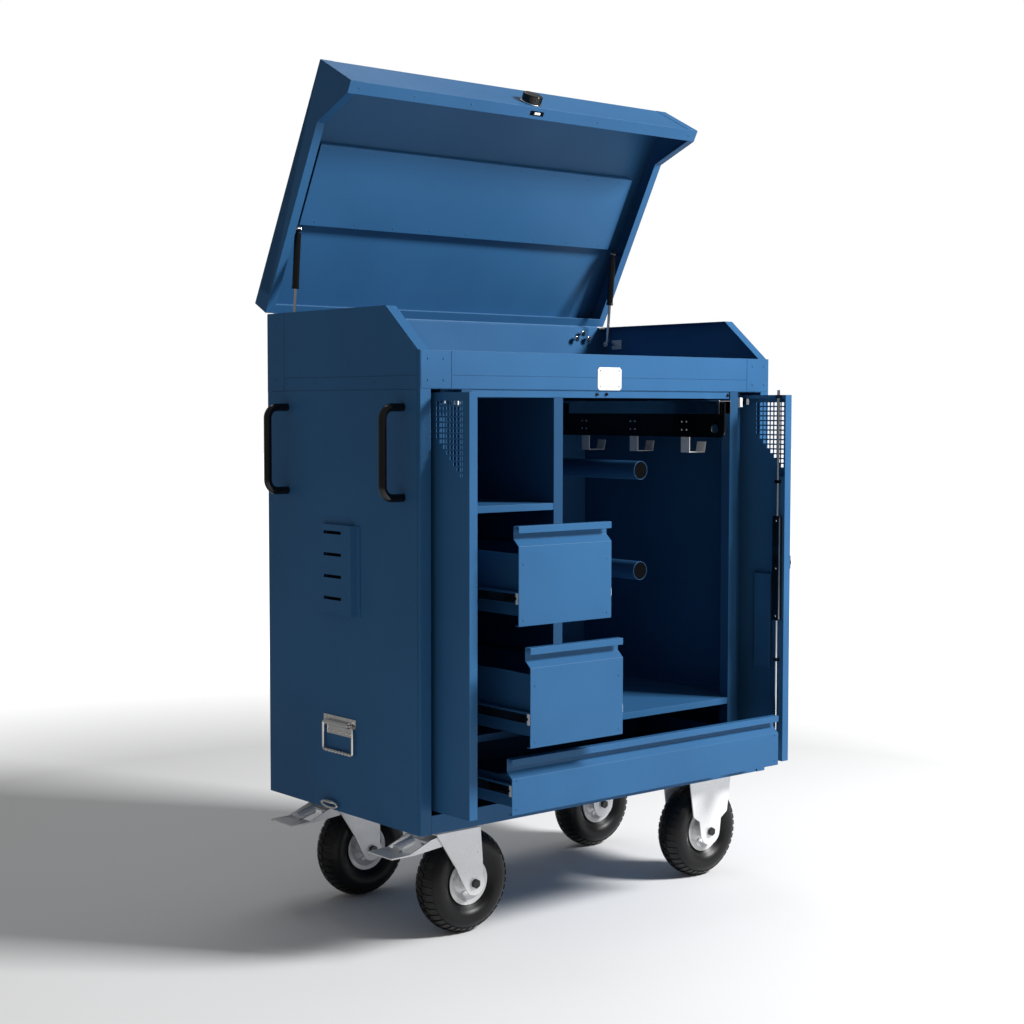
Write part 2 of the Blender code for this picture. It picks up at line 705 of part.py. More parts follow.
def castor_head(name, x, y):
    """The bolted plate of a swivel castor with its bearing cup."""
    low, high = (x - 0.0675, y - 0.055, PLATE_LOW), (x + 0.0675, y + 0.055, PLATE_TOP)
    head = add(name, box_mesh(name, low, high), ZINC)
    join(head, cylinder_mesh(name, (x, y, PLATE_LOW + 0.002), (x, y, CUP_LOW), 0.038, 28))


def fork_ears(fork, outline, hub, inside):
    """The two side plates of a fork, with the axle bolt that joins them."""
    placed = [(hub[0] + x, hub[2] + z) for x, z in outline]
    tools = []
    for side in (-1, 1):
        near, far = sorted((hub[1] + side * inside, hub[1] + side * (inside + FORK_SHEET)))
        tools.append(prism_mesh("ear", placed, "Y", near, far))
    reach = inside + FORK_SHEET / 2
    bolt = (hub[0], hub[1] - reach, hub[2]), (hub[0], hub[1] + reach, hub[2])
    tools.append(cylinder_mesh("axle", *bolt, AXLE_RADIUS, 20))
    for side in (-1, 1):
        start = (hub[0], hub[1] + side * reach, hub[2])
        end = (hub[0], hub[1] + side * (inside + FORK_SHEET + 0.006), hub[2])
        tools.append(cylinder_mesh("bolt_head", start, end, 0.011, 6))
    join(fork, *tools)


def swivel_fork(name, y):
    hub = (SWIVEL_WHEEL_X, y, WHEEL_RADIUS)
    top = CROWN_TOP - 0.0005 - hub[2]
    outline = [(-0.118, top), (0.018, top), (0.025, 0.056), *arc((0, 0), 0.030, 35, -145, 9)]
    outline.append((-0.056, 0.044))
    reach = FORK_INSIDE + FORK_SHEET
    low = (hub[0] - 0.116, y - reach + 0.001, CROWN_TOP - FORK_SHEET)
    high = (hub[0] + 0.012, y + reach - 0.001, CROWN_TOP)
    pivot = (hub[0] - SWIVEL_TRAIL, y, CROWN_TOP)
    fork_ears(add(name, box_mesh(name, low, high), ZINC, pivot), outline, hub, FORK_INSIDE)


def fixed_fork(name, y):
    hub = (FIXED_WHEEL_X, y, WHEEL_RADIUS)
    top = PLATE_LOW + 0.001 - hub[2]
    outline = [(-0.082, top), (0.082, top), (0.066, 0.048), (0.042, 0.032)]
    outline += [*arc((0, 0), 0.038, 0, -180, 9), (-0.042, 0.032), (-0.066, 0.048)]
    low, high = (hub[0] - 0.086, y - 0.062, PLATE_LOW), (hub[0] + 0.086, y + 0.062, PLATE_TOP)
    fork_ears(add(name, box_mesh(name, low, high), ZINC), outline, hub, FORK_INSIDE)


PEDAL_PIVOT = (-0.093, 0.122)


def brake_pedal(name, y):
    """A pressed foot lever: two arms, a flat tip, and the round pressing between them."""
    hub_x, hub_z = SWIVEL_WHEEL_X, WHEEL_RADIUS
    arm_outside = FORK_INSIDE - 0.001
    arm_thickness = 0.003
    outline = [
        (-0.248, 0.098),
        (-0.182, 0.098),
        (-0.100, 0.106),
        (-0.084, 0.117),
        (-0.084, 0.128),
        (-0.100, 0.132),
        (-0.130, 0.128),
        (-0.195, 0.102),
        (-0.248, 0.101),
    ]
    placed = [(hub_x + x, hub_z + z) for x, z in outline]
    pivot = (hub_x + PEDAL_PIVOT[0], y, hub_z + PEDAL_PIVOT[1])
    tip_low = (hub_x - 0.249, y - arm_outside + 0.001, hub_z + 0.0975)
    tip_high = (hub_x - 0.185, y + arm_outside - 0.001, hub_z + 0.1005)
    pedal = add(name, box_mesh(name, tip_low, tip_high), ZINC, pivot)
    arms = []
    for side in (-1, 1):
        inner, outer = side * (arm_outside - arm_thickness), side * arm_outside
        near, far = sorted((y + inner, y + outer))
        arms.append(prism_mesh("arm", placed, "Y", near, far))
    barrel = (hub_x - 0.201, y, hub_z + 0.108), (hub_x - 0.150, y, hub_z + 0.121)
    web_low = (hub_x - 0.126, y - arm_outside + 0.001, hub_z + 0.112)
    web_high = (hub_x - 0.118, y + arm_outside - 0.001, hub_z + 0.118)
    join(pedal, *arms, cylinder_mesh("barrel", *barrel, 0.0115, 16), box_mesh("web", web_low, web_high))


def turned(name, section, hub, finish):
    """A body of revolution about the axle: its section is a loop of (radius, offset along Y)."""
    shape = bmesh.new()
    loop = [shape.verts.new((radius, offset, 0.0)) for radius, offset in section]
    for pair in zip(loop, loop[1:] + loop[:1]):
        shape.edges.new(pair)
    piece = add(name, to_mesh(name, shape), finish)
    piece.location = hub
    spin = piece.modifiers.new("turned", "SCREW")
    spin.axis = "Y"
    spin.steps = spin.render_steps = WHEEL_STEPS
    spin.use_merge_vertices = True
    spin.merge_threshold = 0.00001
    spin.use_smooth_shade = True
    return piece


def tyre(name, hub):
    middle = (WHEEL_RADIUS + BEAD_RADIUS) / 2
    depth = WHEEL_RADIUS - middle
    section = [(BEAD_RADIUS, 0.021)]
    for step in range(13):
        angle = radians(140 - 280 * step / 12)
        section.append((middle + depth * cos(angle), TYRE_HALF_WIDTH * sin(angle)))
    section.append((BEAD_RADIUS, -0.021))
    turned(name, section, hub, RUBBER)


def rim(name, hub):
    """A pressed disc wheel: hub tube, flat web, and a drop-centre rim with a lip each side."""
    seat = BEAD_RADIUS - 0.0004
    half = [
        (AXLE_RADIUS + 0.0006, 0.034),
        (0.022, 0.034),
        (0.022, 0.004),
        (seat - 0.008, 0.004),
        (seat - 0.008, 0.026),
        (0.0595, 0.029),
        (0.0595, 0.0255),
        (seat, 0.022),
    ]
    section = half + [(radius, -offset) for radius, offset in reversed(half)]
    turned(name, section, hub, ZINC)


# --- assembly -------------------------------------------------------------------------------------
side_panel("side_left", False)
side_panel("side_right", True)
base_pan()
cabinet_sheets()
front_rail()
pocket_wall("pocket_wall_left", False)
pocket_wall("pocket_wall_right", True)
divider()
shelf("lower_shelf", LOWER_SHELF_TOP, WIDTH - POCKET_WALL_LEFT - SHEET / 2 - GAP, True)
shelf("column_shelf", COLUMN_SHELF_TOP, DIVIDER_LEFT - GAP, False)
name_plate()

door("door_left", False)
door("door_right", True)
door_lock()

column = (INNER_POST_LEFT + POST_WIDTH, DIVIDER_LEFT)
full = (INNER_POST_LEFT + POST_WIDTH, WIDTH - INNER_POST_LEFT - POST_WIDTH)
drawer("drawer_upper", -0.193, BODY_BOTTOM + 0.505, 0.185, *column, 0.020, 0.145)
drawer("drawer_lower", LOWER_DRAWER_Y, BODY_BOTTOM + 0.228, 0.185, *column, 0.020, 0.145)
drawer("drawer_bottom", -0.170, BODY_BOTTOM + 0.060, 0.085, *full, 0.010, 0.072)

lid()
gas_strut("left", STRUT_INSET)
gas_strut("right", WIDTH - STRUT_INSET)

push_handle("push_handle_front", 0.067)
push_handle("push_handle_rear", 0.566)
vent_cover()
chest_handle()

hanging_tube("hanging_tube_upper", BODY_BOTTOM + 0.845)
hanging_tube("hanging_tube_lower", BODY_BOTTOM + 0.579)
hook_rail()

for place, y in (("front", FRONT_WHEEL_Y), ("rear", REAR_WHEEL_Y)):
    castor_head(f"castor_head_{place}", SWIVEL_WHEEL_X - SWIVEL_TRAIL, y)
    swivel_fork(f"swivel_fork_{place}", y)
    fixed_fork(f"fixed_fork_{place}", y)
    brake_pedal(f"brake_pedal_{place}", y)
    for side, x in (("left", SWIVEL_WHEEL_X), ("right", FIXED_WHEEL_X)):
        tyre(f"tyre_{place}_{side}", (x, y, WHEEL_RADIUS))
        rim(f"rim_{place}_{side}", (x, y, WHEEL_RADIUS))
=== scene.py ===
"""The finished look of a rolling tool chest: powder-coated sheet steel on four pneumatic castors.

Lengths are metres. Places are given from the chest's own corner with at(x, y, z): x from the outside
of its left side, y from the face of its front rail towards the back, z from the underside of its body.
"""

import json
from math import cos, pi, radians, sin, tau

import bmesh
import bpy
from mathutils import Matrix, Vector

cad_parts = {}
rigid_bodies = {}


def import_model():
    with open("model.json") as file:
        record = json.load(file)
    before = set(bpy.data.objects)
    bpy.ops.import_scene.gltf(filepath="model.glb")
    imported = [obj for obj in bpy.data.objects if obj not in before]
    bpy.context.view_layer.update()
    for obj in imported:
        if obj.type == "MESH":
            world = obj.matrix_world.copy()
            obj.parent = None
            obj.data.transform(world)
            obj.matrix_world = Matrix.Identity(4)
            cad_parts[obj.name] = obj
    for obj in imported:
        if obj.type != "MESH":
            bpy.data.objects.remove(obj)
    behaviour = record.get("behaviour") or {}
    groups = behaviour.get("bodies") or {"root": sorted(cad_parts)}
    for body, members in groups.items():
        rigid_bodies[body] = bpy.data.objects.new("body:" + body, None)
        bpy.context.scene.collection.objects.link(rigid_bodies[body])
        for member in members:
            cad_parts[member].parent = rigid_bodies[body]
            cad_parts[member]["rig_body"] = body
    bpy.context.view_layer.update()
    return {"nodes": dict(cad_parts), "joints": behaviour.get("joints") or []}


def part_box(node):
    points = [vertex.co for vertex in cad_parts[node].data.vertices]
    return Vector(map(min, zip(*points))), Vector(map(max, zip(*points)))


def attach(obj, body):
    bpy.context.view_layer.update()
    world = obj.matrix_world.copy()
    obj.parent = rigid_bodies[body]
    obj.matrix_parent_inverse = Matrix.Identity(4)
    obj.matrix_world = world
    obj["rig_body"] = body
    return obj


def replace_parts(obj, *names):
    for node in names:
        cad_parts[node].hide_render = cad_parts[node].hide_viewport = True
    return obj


# --- Frame ------------------------------------------------
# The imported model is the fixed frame: every sheet, wheel and joint is already in its place, and the
# pieces below are finished versions of it or the small parts that are fixed to it.
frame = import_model()

side_low, side_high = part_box("side_left")
CORNER = Vector((side_low.x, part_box("front_rail")[0].y, side_low.z))
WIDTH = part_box("side_right")[1].x - side_low.x
DEPTH = side_high.y - side_low.y
CABINET = "cabinet"


def at(x, y, z):
    return CORNER + Vector((x, y, z))


# --- Powder coat ------------------------------------------
# The sheet steel is sprayed with blue polyester powder and baked. It flows out to a satin skin with a
# faint orange peel. The sheets inside take a darker copy of the same blue: painted shade for the dim
# interior.
BLUE = (0.0315, 0.1220, 0.2700)
BLUE_DEEP = (0.0255, 0.1010, 0.2290)
# Painted shade: the darker blue for the sheets inside the chest, the drawer boxes and the hanging
# tubes.
SHADED_INSIDE = (0.0180, 0.0750, 0.1720)
SHADED_INSIDE_DEEP = (0.0145, 0.0610, 0.1400)


class Value:
    """A shader socket that Python's operators work on."""

    def __init__(self, maker, socket):
        self.maker = maker
        self.socket = socket

    def math(self, operation, *others, clamp=False):
        settings = {"operation": operation, "use_clamp": clamp}
        inputs = dict(enumerate((self, *others)))
        return self.maker.node("Math", 0, settings, inputs)

    def __add__(self, other):
        return self.math("ADD", other)

    def __sub__(self, other):
        return self.math("SUBTRACT", other)

    def __mul__(self, other):
        return self.math("MULTIPLY", other)

    def __rsub__(self, other):
        return (self * -1.0) + other

    def between(self, low, high):
        """0 at low, 1 at high, and clamped outside them."""
        return self.maker.node("MapRange", 0, {}, {0: self, 1: low, 2: high, 3: 0.0, 4: 1.0})

    __radd__ = __add__
    __rmul__ = __mul__


class Finish:
    """A material, the record's slot that it belongs to, and the making of its nodes."""

    def __init__(self, name, slot, roughness=0.5, **fixed):
        self.material = bpy.data.materials.new(name)
        self.material.use_nodes = True
        self.slot = slot
        self.tree = self.material.node_tree
        self.shader = self.tree.nodes["Principled BSDF"]
        self.shader.inputs["Roughness"].default_value = roughness
        for key, value in fixed.items():
            self.shader.inputs[key.replace("_", " ")].default_value = value

    def node(self, kind, output, settings, inputs):
        made = self.tree.nodes.new("ShaderNode" + kind)
        for key, value in settings.items():
            setattr(made, key, value)
        for key, value in inputs.items():
            self.feed(made.inputs[key], value)
        return Value(self, made.outputs[output])

    def feed(self, socket, value):
        if isinstance(value, Value):
            self.tree.links.new(value.socket, socket)
        else:
            socket.default_value = value

    def place(self, stretch=(1.0, 1.0, 1.0)):
        point = self.node("TexCoord", "Object", {}, {})
        return self.node("Mapping", 0, {}, {"Vector": point, "Scale": stretch})

    def noise(self, scale, detail=2.0, stretch=(1.0, 1.0, 1.0)):
        inputs = {"Vector": self.place(stretch), "Scale": scale, "Detail": detail}
        return self.node("TexNoise", 0, {}, inputs)

    def cells(self, scale):
        return self.node("TexVoronoi", 0, {}, {"Vector": self.place(), "Scale": scale})

    def mix(self, factor, first, second):
        inputs = {0: factor, 6: (*first, 1.0), 7: (*second, 1.0)}
        return self.node("Mix", 2, {"data_type": "RGBA"}, inputs)

    def colour(self, factor, first, second):
        self.feed(self.shader.inputs["Base Color"], self.mix(factor, first, second))
        return self

    def rough(self, value):
        self.feed(self.shader.inputs["Roughness"], value)
        return self

    def fade(self, near, far):
        """Lets a surface turn to white between two distances, in the camera's eyes only."""
        distance = self.node("VectorMath", 1, {"operation": "LENGTH"}, {0: self.place()})
        self.feed(self.shader.inputs["Emission Strength"], 1.0)
        seen = self.node("LightPath", "Is Camera Ray", {}, {})
        glow = self.mix(distance.between(near, far) * seen, (0.0, 0.0, 0.0), (1.0, 1.0, 1.0))
        self.feed(self.shader.inputs["Emission Color"], glow)
        return self

    def bump(self, height, depth, strength=1.0):
        inputs = {"Height": height, "Distance": depth, "Strength": strength}
        self.feed(self.shader.inputs["Normal"], self.node("Bump", 0, {}, inputs))
        return self


def powder_coat(name, light, deep):
    coat = Finish(name, "blue_powder_coat", Specular_IOR_Level=0.12)
    drift = coat.noise(3.0, 3.0).between(0.35, 0.65)
    speck = coat.noise(420.0, 1.0).between(0.45, 0.75)
    coat.colour(drift * 0.7 + speck * 0.3, light, deep)
    coat.rough(coat.noise(9.0, 4.0) * 0.16 + 0.34)
    return coat.bump(coat.noise(650.0, 2.0), 0.00012, 0.55)


powder = powder_coat("blue_powder_coat", BLUE, BLUE_DEEP)
# The same coat in a darker blue, painted shade for the parts inside the chest.
shaded_powder = powder_coat("blue_powder_coat_painted_shade", SHADED_INSIDE, SHADED_INSIDE_DEEP)


def link(name, mesh, finish, body, smooth=None):
    """A finished piece: its mesh stands where it belongs, and it rides on a body."""
    if smooth is not None:
        mesh.shade_smooth()
        mesh.set_sharp_from_angle(angle=radians(smooth))
    mesh.materials.clear()
    mesh.materials.append(finish.material)
    piece = bpy.data.objects.new(name, mesh)
    bpy.context.scene.collection.objects.link(piece)
    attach(piece, body)
    return piece


def baked(piece):
    """Puts a piece's modifiers into its mesh, so that it is plain geometry."""
    bpy.context.view_layer.update()
    graph = bpy.context.evaluated_depsgraph_get()
    mesh = bpy.data.meshes.new_from_object(piece.evaluated_get(graph))
    piece.modifiers.clear()
    piece.data = mesh
    return piece


def break_edges(piece, width, segments=2):
    """Rounds a piece's sharp edges, and keeps its flats flat to the eye."""
    piece.data.shade_smooth()
    bevel = piece.modifiers.new("broken_edges", "BEVEL")
    bevel.width = width
    bevel.segments = segments
    bevel.limit_method = "ANGLE"
    bevel.angle_limit = radians(32)
    bevel.harden_normals = True
    return baked(piece)


def merged_copy(node):
    """A CAD node's shape with its loose triangles joined into whole flats."""
    source = frame["nodes"][node].data
    mesh = bpy.data.meshes.new(node)
    corners = [vertex.co for vertex in source.vertices]
    mesh.from_pydata(corners, [], [tuple(face.vertices) for face in source.polygons])
    shape = bmesh.new()
    shape.from_mesh(mesh)
    bmesh.ops.remove_doubles(shape, verts=shape.verts, dist=0.00003)
    bmesh.ops.dissolve_limit(
        shape, angle_limit=radians(0.8), verts=shape.verts, edges=shape.edges
    )
    shape.to_mesh(mesh)
    shape.free()
    return mesh


def finished(node, finish, width=0.0007, segments=2):
    """A CAD node in its real finish, with its edges broken as folding and blasting leave them."""
    piece = link(node + "_finished", merged_copy(node), finish, frame["nodes"][node]["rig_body"])
    break_edges(piece, width, segments)
    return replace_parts(piece, node)


# --- Cabinet shell ----------------------------------------
# Two sides with sloped wings, a back, a base pan and a front rail, cut and folded from 2 mm steel and
# riveted together, with a tray, a divider and two shelves inside.
for name in ("side_left", "side_right", "back_panel", "base_pan", "front_rail"):
    finished(name, powder)
# The tray, the pocket walls and the divider wear the darker blue of painted shade.
for name in ("top_tray", "pocket_wall_left", "pocket_wall_right", "divider"):
    finished(name, shaded_powder)
for name in ("lower_shelf", "column_shelf"):
    finished(name, powder)


def to_mesh(name, shape):
    mesh = bpy.data.meshes.new(name)
    shape.to_mesh(mesh)
    shape.free()
    return mesh


def box_mesh(name, low, high):
    low, high = Vector(low), Vector(high)
    shape = bmesh.new()
    bmesh.ops.create_cube(shape, size=1.0)
    bmesh.ops.scale(shape, vec=high - low, verts=shape.verts)
    bmesh.ops.translate(shape, vec=(low + high) / 2, verts=shape.verts)
    return to_mesh(name, shape)


def block(name, low, high, finish, body=CABINET, width=0.0006):
    """A small pressed or cut block between two corners, with broken edges."""
    return break_edges(link(name, box_mesh(name, low, high), finish, body), width)


def plate(name, outline, thickness, finish, body=CABINET, width=0.0004):
    """A flat plate: its outline in space, thickened along its own normal."""
    shape = bmesh.new()
    face = shape.faces.new([shape.verts.new(point) for point in outline])
    face.normal_update()
    normal = face.normal.copy()
    swept = bmesh.ops.extrude_face_region(shape, geom=[face])
    moved = [item for item in swept["geom"] if isinstance(item, bmesh.types.BMVert)]
    bmesh.ops.translate(shape, vec=normal * thickness, verts=moved)
    bmesh.ops.recalc_face_normals(shape, faces=shape.faces)
    return break_edges(link(name, to_mesh(name, shape), finish, body), width)


# --- Cover sheets on the sides and the rail ---------------
# The wings are capped by 1 mm cover sheets and the rail by a band and two corner blocks. Their edges
# show as fine seams.
COVER = 0.0009
SEAM = 0.001
RAIL_SEAM = 1.085
RAIL_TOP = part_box("front_rail")[1].z - CORNER.z
WING_TOP = side_high.z - CORNER.z
WING_SLOPE_END = 0.138
FRONT_EDGE = 0.012
REAR_EDGE = DEPTH - 0.080
REAR_POST = DEPTH - 0.023
SKIN_TOP = 1.0515


def rectangle(left, right, low, high):
    """The corners of a rectangle in a plane, in order round it."""
    return [(left, low), (right, low), (right, high), (left, high)]


COVERS = {
    "wing_cover": [
        (FRONT_EDGE, RAIL_SEAM + SEAM),
        (REAR_EDGE - SEAM, RAIL_SEAM + SEAM),
        (REAR_EDGE - SEAM, WING_TOP - SEAM),
        (WING_SLOPE_END, WING_TOP - SEAM),
        (FRONT_EDGE, RAIL_TOP + 0.002),
    ],
    "band_cover": rectangle(FRONT_EDGE, REAR_EDGE - SEAM, SKIN_TOP + 0.002, RAIL_SEAM - SEAM),
    "corner_cover": rectangle(REAR_EDGE + SEAM, DEPTH - SEAM, SKIN_TOP - 0.0015, WING_TOP - SEAM),
    "side_skin": rectangle(FRONT_EDGE, REAR_POST, 0.003, SKIN_TOP),
}
for side, x in (("left", 0.0), ("right", WIDTH)):
    for name, outline in COVERS.items():
        points = [at(x, y, z) for y, z in outline]
        if side == "left":
            points.reverse()
        plate(f"{name}_{side}", points, COVER, powder)

BAND_LOW = 1.0545
BAND_LEFT, BAND_RIGHT = 0.0915, WIDTH - 0.0885
RAIL_COVERS = {
    "rail_band": (BAND_LEFT, BAND_RIGHT, RAIL_SEAM + SEAM, RAIL_TOP - SEAM),
    "rail_lower_band": (BAND_LEFT, BAND_RIGHT, BAND_LOW, RAIL_SEAM - SEAM),
    "rail_block_left": (0.002, BAND_LEFT - SEAM, BAND_LOW, RAIL_TOP - SEAM),
    "rail_block_right": (BAND_RIGHT + SEAM, WIDTH - 0.002, BAND_LOW, RAIL_TOP - SEAM),
}
for name, (left, right, low, high) in RAIL_COVERS.items():
    block(name, at(left, -COVER, low), at(right, 0.0003, high), powder, width=0.0003)


# --- Zinc, chrome and black metal -------------------------
# The bought-in hardware: zinc-plated forks and runners with a faint crystal pattern, nickel-bright
# handle parts, and gloss black enamel on the bow handles and the hook rail.
zinc = Finish("zinc_plate", "zinc_plate", Metallic=0.25)
zinc.colour(zinc.cells(160.0).between(0.1, 0.7), (0.80, 0.805, 0.81), (0.75, 0.755, 0.765))
zinc.rough(zinc.noise(30.0, 4.0) * 0.22 + 0.22)
zinc.bump(zinc.noise(300.0, 2.0), 0.00006, 0.4)

chrome = Finish("chrome_plate", "chrome_plate", Metallic=1.0)
chrome.colour(chrome.noise(25.0, 3.0), (0.80, 0.79, 0.77), (0.66, 0.65, 0.63))
chrome.rough(chrome.noise(60.0, 3.0) * 0.12 + 0.07)

gloss = {"Coat_Roughness": 0.06, "Coat_Weight": 0.3, "Specular_IOR_Level": 0.3}
black = Finish("black_enamel", "black_enamel", **gloss)
black.colour(black.noise(40.0, 3.0), (0.0025, 0.0025, 0.0030), (0.0045, 0.0045, 0.0052))
black.rough(black.noise(12.0, 2.0) * 0.06 + 0.09)
black.bump(black.noise(240.0, 2.0), 0.00002, 0.2)

# A flat near-black with almost no shine: the black of the tube caps and runner pins, and painted shade
# in the latch slot and the vent slots.
flat_black_and_shade = Finish("flat_black_and_painted_shade", "black_enamel", 0.8, Specular_IOR_Level=0.02)
flat_black_and_shade.colour(flat_black_and_shade.noise(50.0, 2.0), (0.002, 0.002, 0.0025), (0.004, 0.004, 0.005))


# --- Rivets and screws ------------------------------------
# Dome rivets hold the sheets and pan-head screws the fittings. One tree puts a head on every point
# of a cloud of places, turned to face outwards.
def group(name, *sockets):
    """An empty node group with geometry in and out, and named inputs of the given kinds."""
    tree = bpy.data.node_groups.new(name, "GeometryNodeTree")
    tree.interface.new_socket("Geometry", in_out="INPUT", socket_type="NodeSocketGeometry")
    for label, kind in sockets:
        tree.interface.new_socket(label, in_out="INPUT", socket_type="NodeSocket" + kind)
    tree.interface.new_socket("Geometry", in_out="OUTPUT", socket_type="NodeSocketGeometry")
    source = tree.nodes.new("NodeGroupInput")
    target = tree.nodes.new("NodeGroupOutput")
    return tree, source.outputs, target.inputs


def add_node(tree, kind, settings, inputs):
    """One node of a tree, its settings first and then the values or links of its sockets."""
    made = tree.nodes.new(kind)
    for key, value in settings.items():
        setattr(made, key, value)
    for key, value in inputs.items():
        if isinstance(value, bpy.types.NodeSocket):
            tree.links.new(value, made.inputs[key])
        else:
            made.inputs[key].default_value = value
    return made.outputs


def copied(tree, points, shape, turn, material, wanted):
    """The end of a tree: a copy of the shape on every point, made real and given its material."""
    inputs = {"Points": points, "Instance": shape, "Rotation": turn}
    copies = add_node(tree, "GeometryNodeInstanceOnPoints", {}, inputs)
    real = add_node(tree, "GeometryNodeRealizeInstances", {}, {"Geometry": copies[0]})
    inputs = {"Geometry": real[0], "Material": material}
    done = add_node(tree, "GeometryNodeSetMaterial", {}, inputs)
    tree.links.new(done[0], wanted["Geometry"])


def grown(name, mesh, tree, values, finish, body, smooth=40):
    """Runs a tree on a mesh and keeps the plain result as a piece."""
    guide = bpy.data.objects.new(name + "_guide", mesh)
    bpy.context.scene.collection.objects.link(guide)
    modifier = guide.modifiers.new(name, "NODES")
    modifier.node_group = tree
    for socket in tree.interface.items_tree:
        if socket.in_out == "INPUT" and socket.name in values:
            modifier[socket.identifier] = values[socket.name]
    bpy.context.view_layer.update()
    graph = bpy.context.evaluated_depsgraph_get()
    result = bpy.data.meshes.new_from_object(guide.evaluated_get(graph))
    bpy.data.objects.remove(guide)
    return link(name, result, finish, body, smooth)


def head_tree():
    tree, given, wanted = group(
        "fastener_heads",
        ("Radius", "Float"),
        ("Height", "Float"),
        ("Facing", "Vector"),
        ("Finish", "Material"),
    )
    inputs = {0: given["Radius"], 1: 0.55}
    half = add_node(tree, "ShaderNodeMath", {"operation": "MULTIPLY"}, inputs)
    inputs = {
        "Vertices": 14,
        "Side Segments": 1,
        "Radius Top": half[0],
        "Radius Bottom": given["Radius"],
        "Depth": given["Height"],
    }
    head = add_node(tree, "GeometryNodeMeshCone", {}, inputs)
    inputs = {"Vector": given["Facing"]}
    turn = add_node(tree, "FunctionNodeAlignRotationToVector", {"axis": "Z"}, inputs)
    copied(tree, given["Geometry"], head["Mesh"], turn[0], given["Finish"], wanted)
    return tree


HEADS = head_tree()


def heads(name, places, facing, finish, body=CABINET, radius=0.0032, height=0.0014):
    """Rivet or screw heads at the places, which stand on the surface that they hold."""
    mesh = bpy.data.meshes.new(name)
    mesh.from_pydata([Vector(place) for place in places], [], [])
    values = {"Radius": radius, "Height": height, "Facing": facing, "Finish": finish.material}
    return grown(name, mesh, HEADS, values, finish, body)


LEFT, RIGHT = (-1.0, 0.0, 0.0), (1.0, 0.0, 0.0)
FORWARD, BACK = (0.0, -1.0, 0.0), (0.0, 1.0, 0.0)
BAND_PITCH = 0.128
FOOT_PITCH = 0.116
BACK_PITCH = 0.120
PROUD = 0.0002

for side, x, out, facing in (("left", 0.0, -1, LEFT), ("right", WIDTH, 1, RIGHT)):
    skin = x + out * COVER
    row = [at(skin, 0.055 + BAND_PITCH * step, RAIL_SEAM - 0.016) for step in range(5)]
    row += [at(skin, DEPTH - 0.040, z) for z in (1.080, 1.145, 1.215)]
    row += [at(skin, 0.026, z) for z in (1.100, 1.132)]
    heads(f"side_rivets_{side}", row, facing, powder)
    foot = [at(x + out * PROUD, 0.040 + FOOT_PITCH * step, 0.018) for step in range(6)]
    heads(f"side_foot_rivets_{side}", foot, facing, powder)
rail_columns = (0.022, 0.068, WIDTH - 0.066, WIDTH - 0.020)
rail_rivets = [at(x, -COVER, z) for x in rail_columns for z in (1.074, 1.124)]
heads("rail_rivets", rail_rivets, FORWARD, powder)
back_columns = [0.060 + BACK_PITCH * step for step in range(10)]
back_rivets = [at(x, DEPTH + PROUD, z) for x in back_columns for z in (0.022, 0.640, 1.230)]
heads("back_rivets", back_rivets, BACK, powder)


# --- Name plate -------------------------------------------
# A blank plate of satin anodised aluminium with clipped corners, held on the front rail by four
# small screws.
satin = Finish("white_plate", "white_plate", Metallic=0.15)
satin.colour(satin.noise(18.0, 4.0, (1.0, 1.0, 14.0)), (0.86, 0.87, 0.88), (0.78, 0.79, 0.81))
satin.rough(satin.noise(90.0, 2.0, (1.0, 1.0, 12.0)) * 0.2 + 0.25)
finished("name_plate", satin, 0.0004)
plate_low, plate_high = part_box("name_plate")
SCREW_INSET = 0.009
plate_screws = [
    Vector((x, plate_low.y, z))
    for x in (plate_low.x + SCREW_INSET, plate_high.x - SCREW_INSET)
    for z in (plate_low.z + SCREW_INSET, plate_high.z - SCREW_INSET)
]
heads("plate_screws", plate_screws, FORWARD, chrome, radius=0.0024, height=0.001)


# --- Lid --------------------------------------------------
# A folded lid with sloped cheeks and a stiffening liner spot-welded inside. It hangs on a long piano
# hinge and stands open on two gas struts. The corners are closed by folded caps.
finished("lid_shell", powder, 0.0010, 3)
finished("lid_liner", powder, 0.0012, 3)


def joint(name):
    """What the frame says of a joint."""
    return next(entry for entry in frame["joints"] if entry["name"] == name)


def pivot(name):
    """A place on a joint's axis."""
    return Vector(joint(name)["pos_m"])


HINGE = pivot("lid_hinge")
LID_ANGLE = radians(joint("lid_hinge")["range_deg"][1])
LID_X = WIDTH / 2
LID_FRONT = 0.668
LID_TOP = 0.066
LID_SKIRT = 0.010
LID_LOW = -0.084
CAP_WIDTH = 0.038
CAP_REAR, CAP_REAR_END = 0.006, 0.049


def on_lid(x, forward, up):
    """A place on the open lid: x across it, forward from the hinge, up from the hinge line."""
    y = -forward * cos(LID_ANGLE) + up * sin(LID_ANGLE)
    z = forward * sin(LID_ANGLE) + up * cos(LID_ANGLE)
    return HINGE + Vector((x, y, z))


LID_DOWN = tuple(on_lid(0.0, 0.0, -1.0) - on_lid(0.0, 0.0, 0.0))
LID_FORWARD = tuple(on_lid(0.0, 1.0, 0.0) - on_lid(0.0, 0.0, 0.0))


def lid_plate(name, outline, thickness=COVER, width=0.0003):
    return plate(name, [on_lid(*point) for point in outline], thickness, powder, "lid", width)


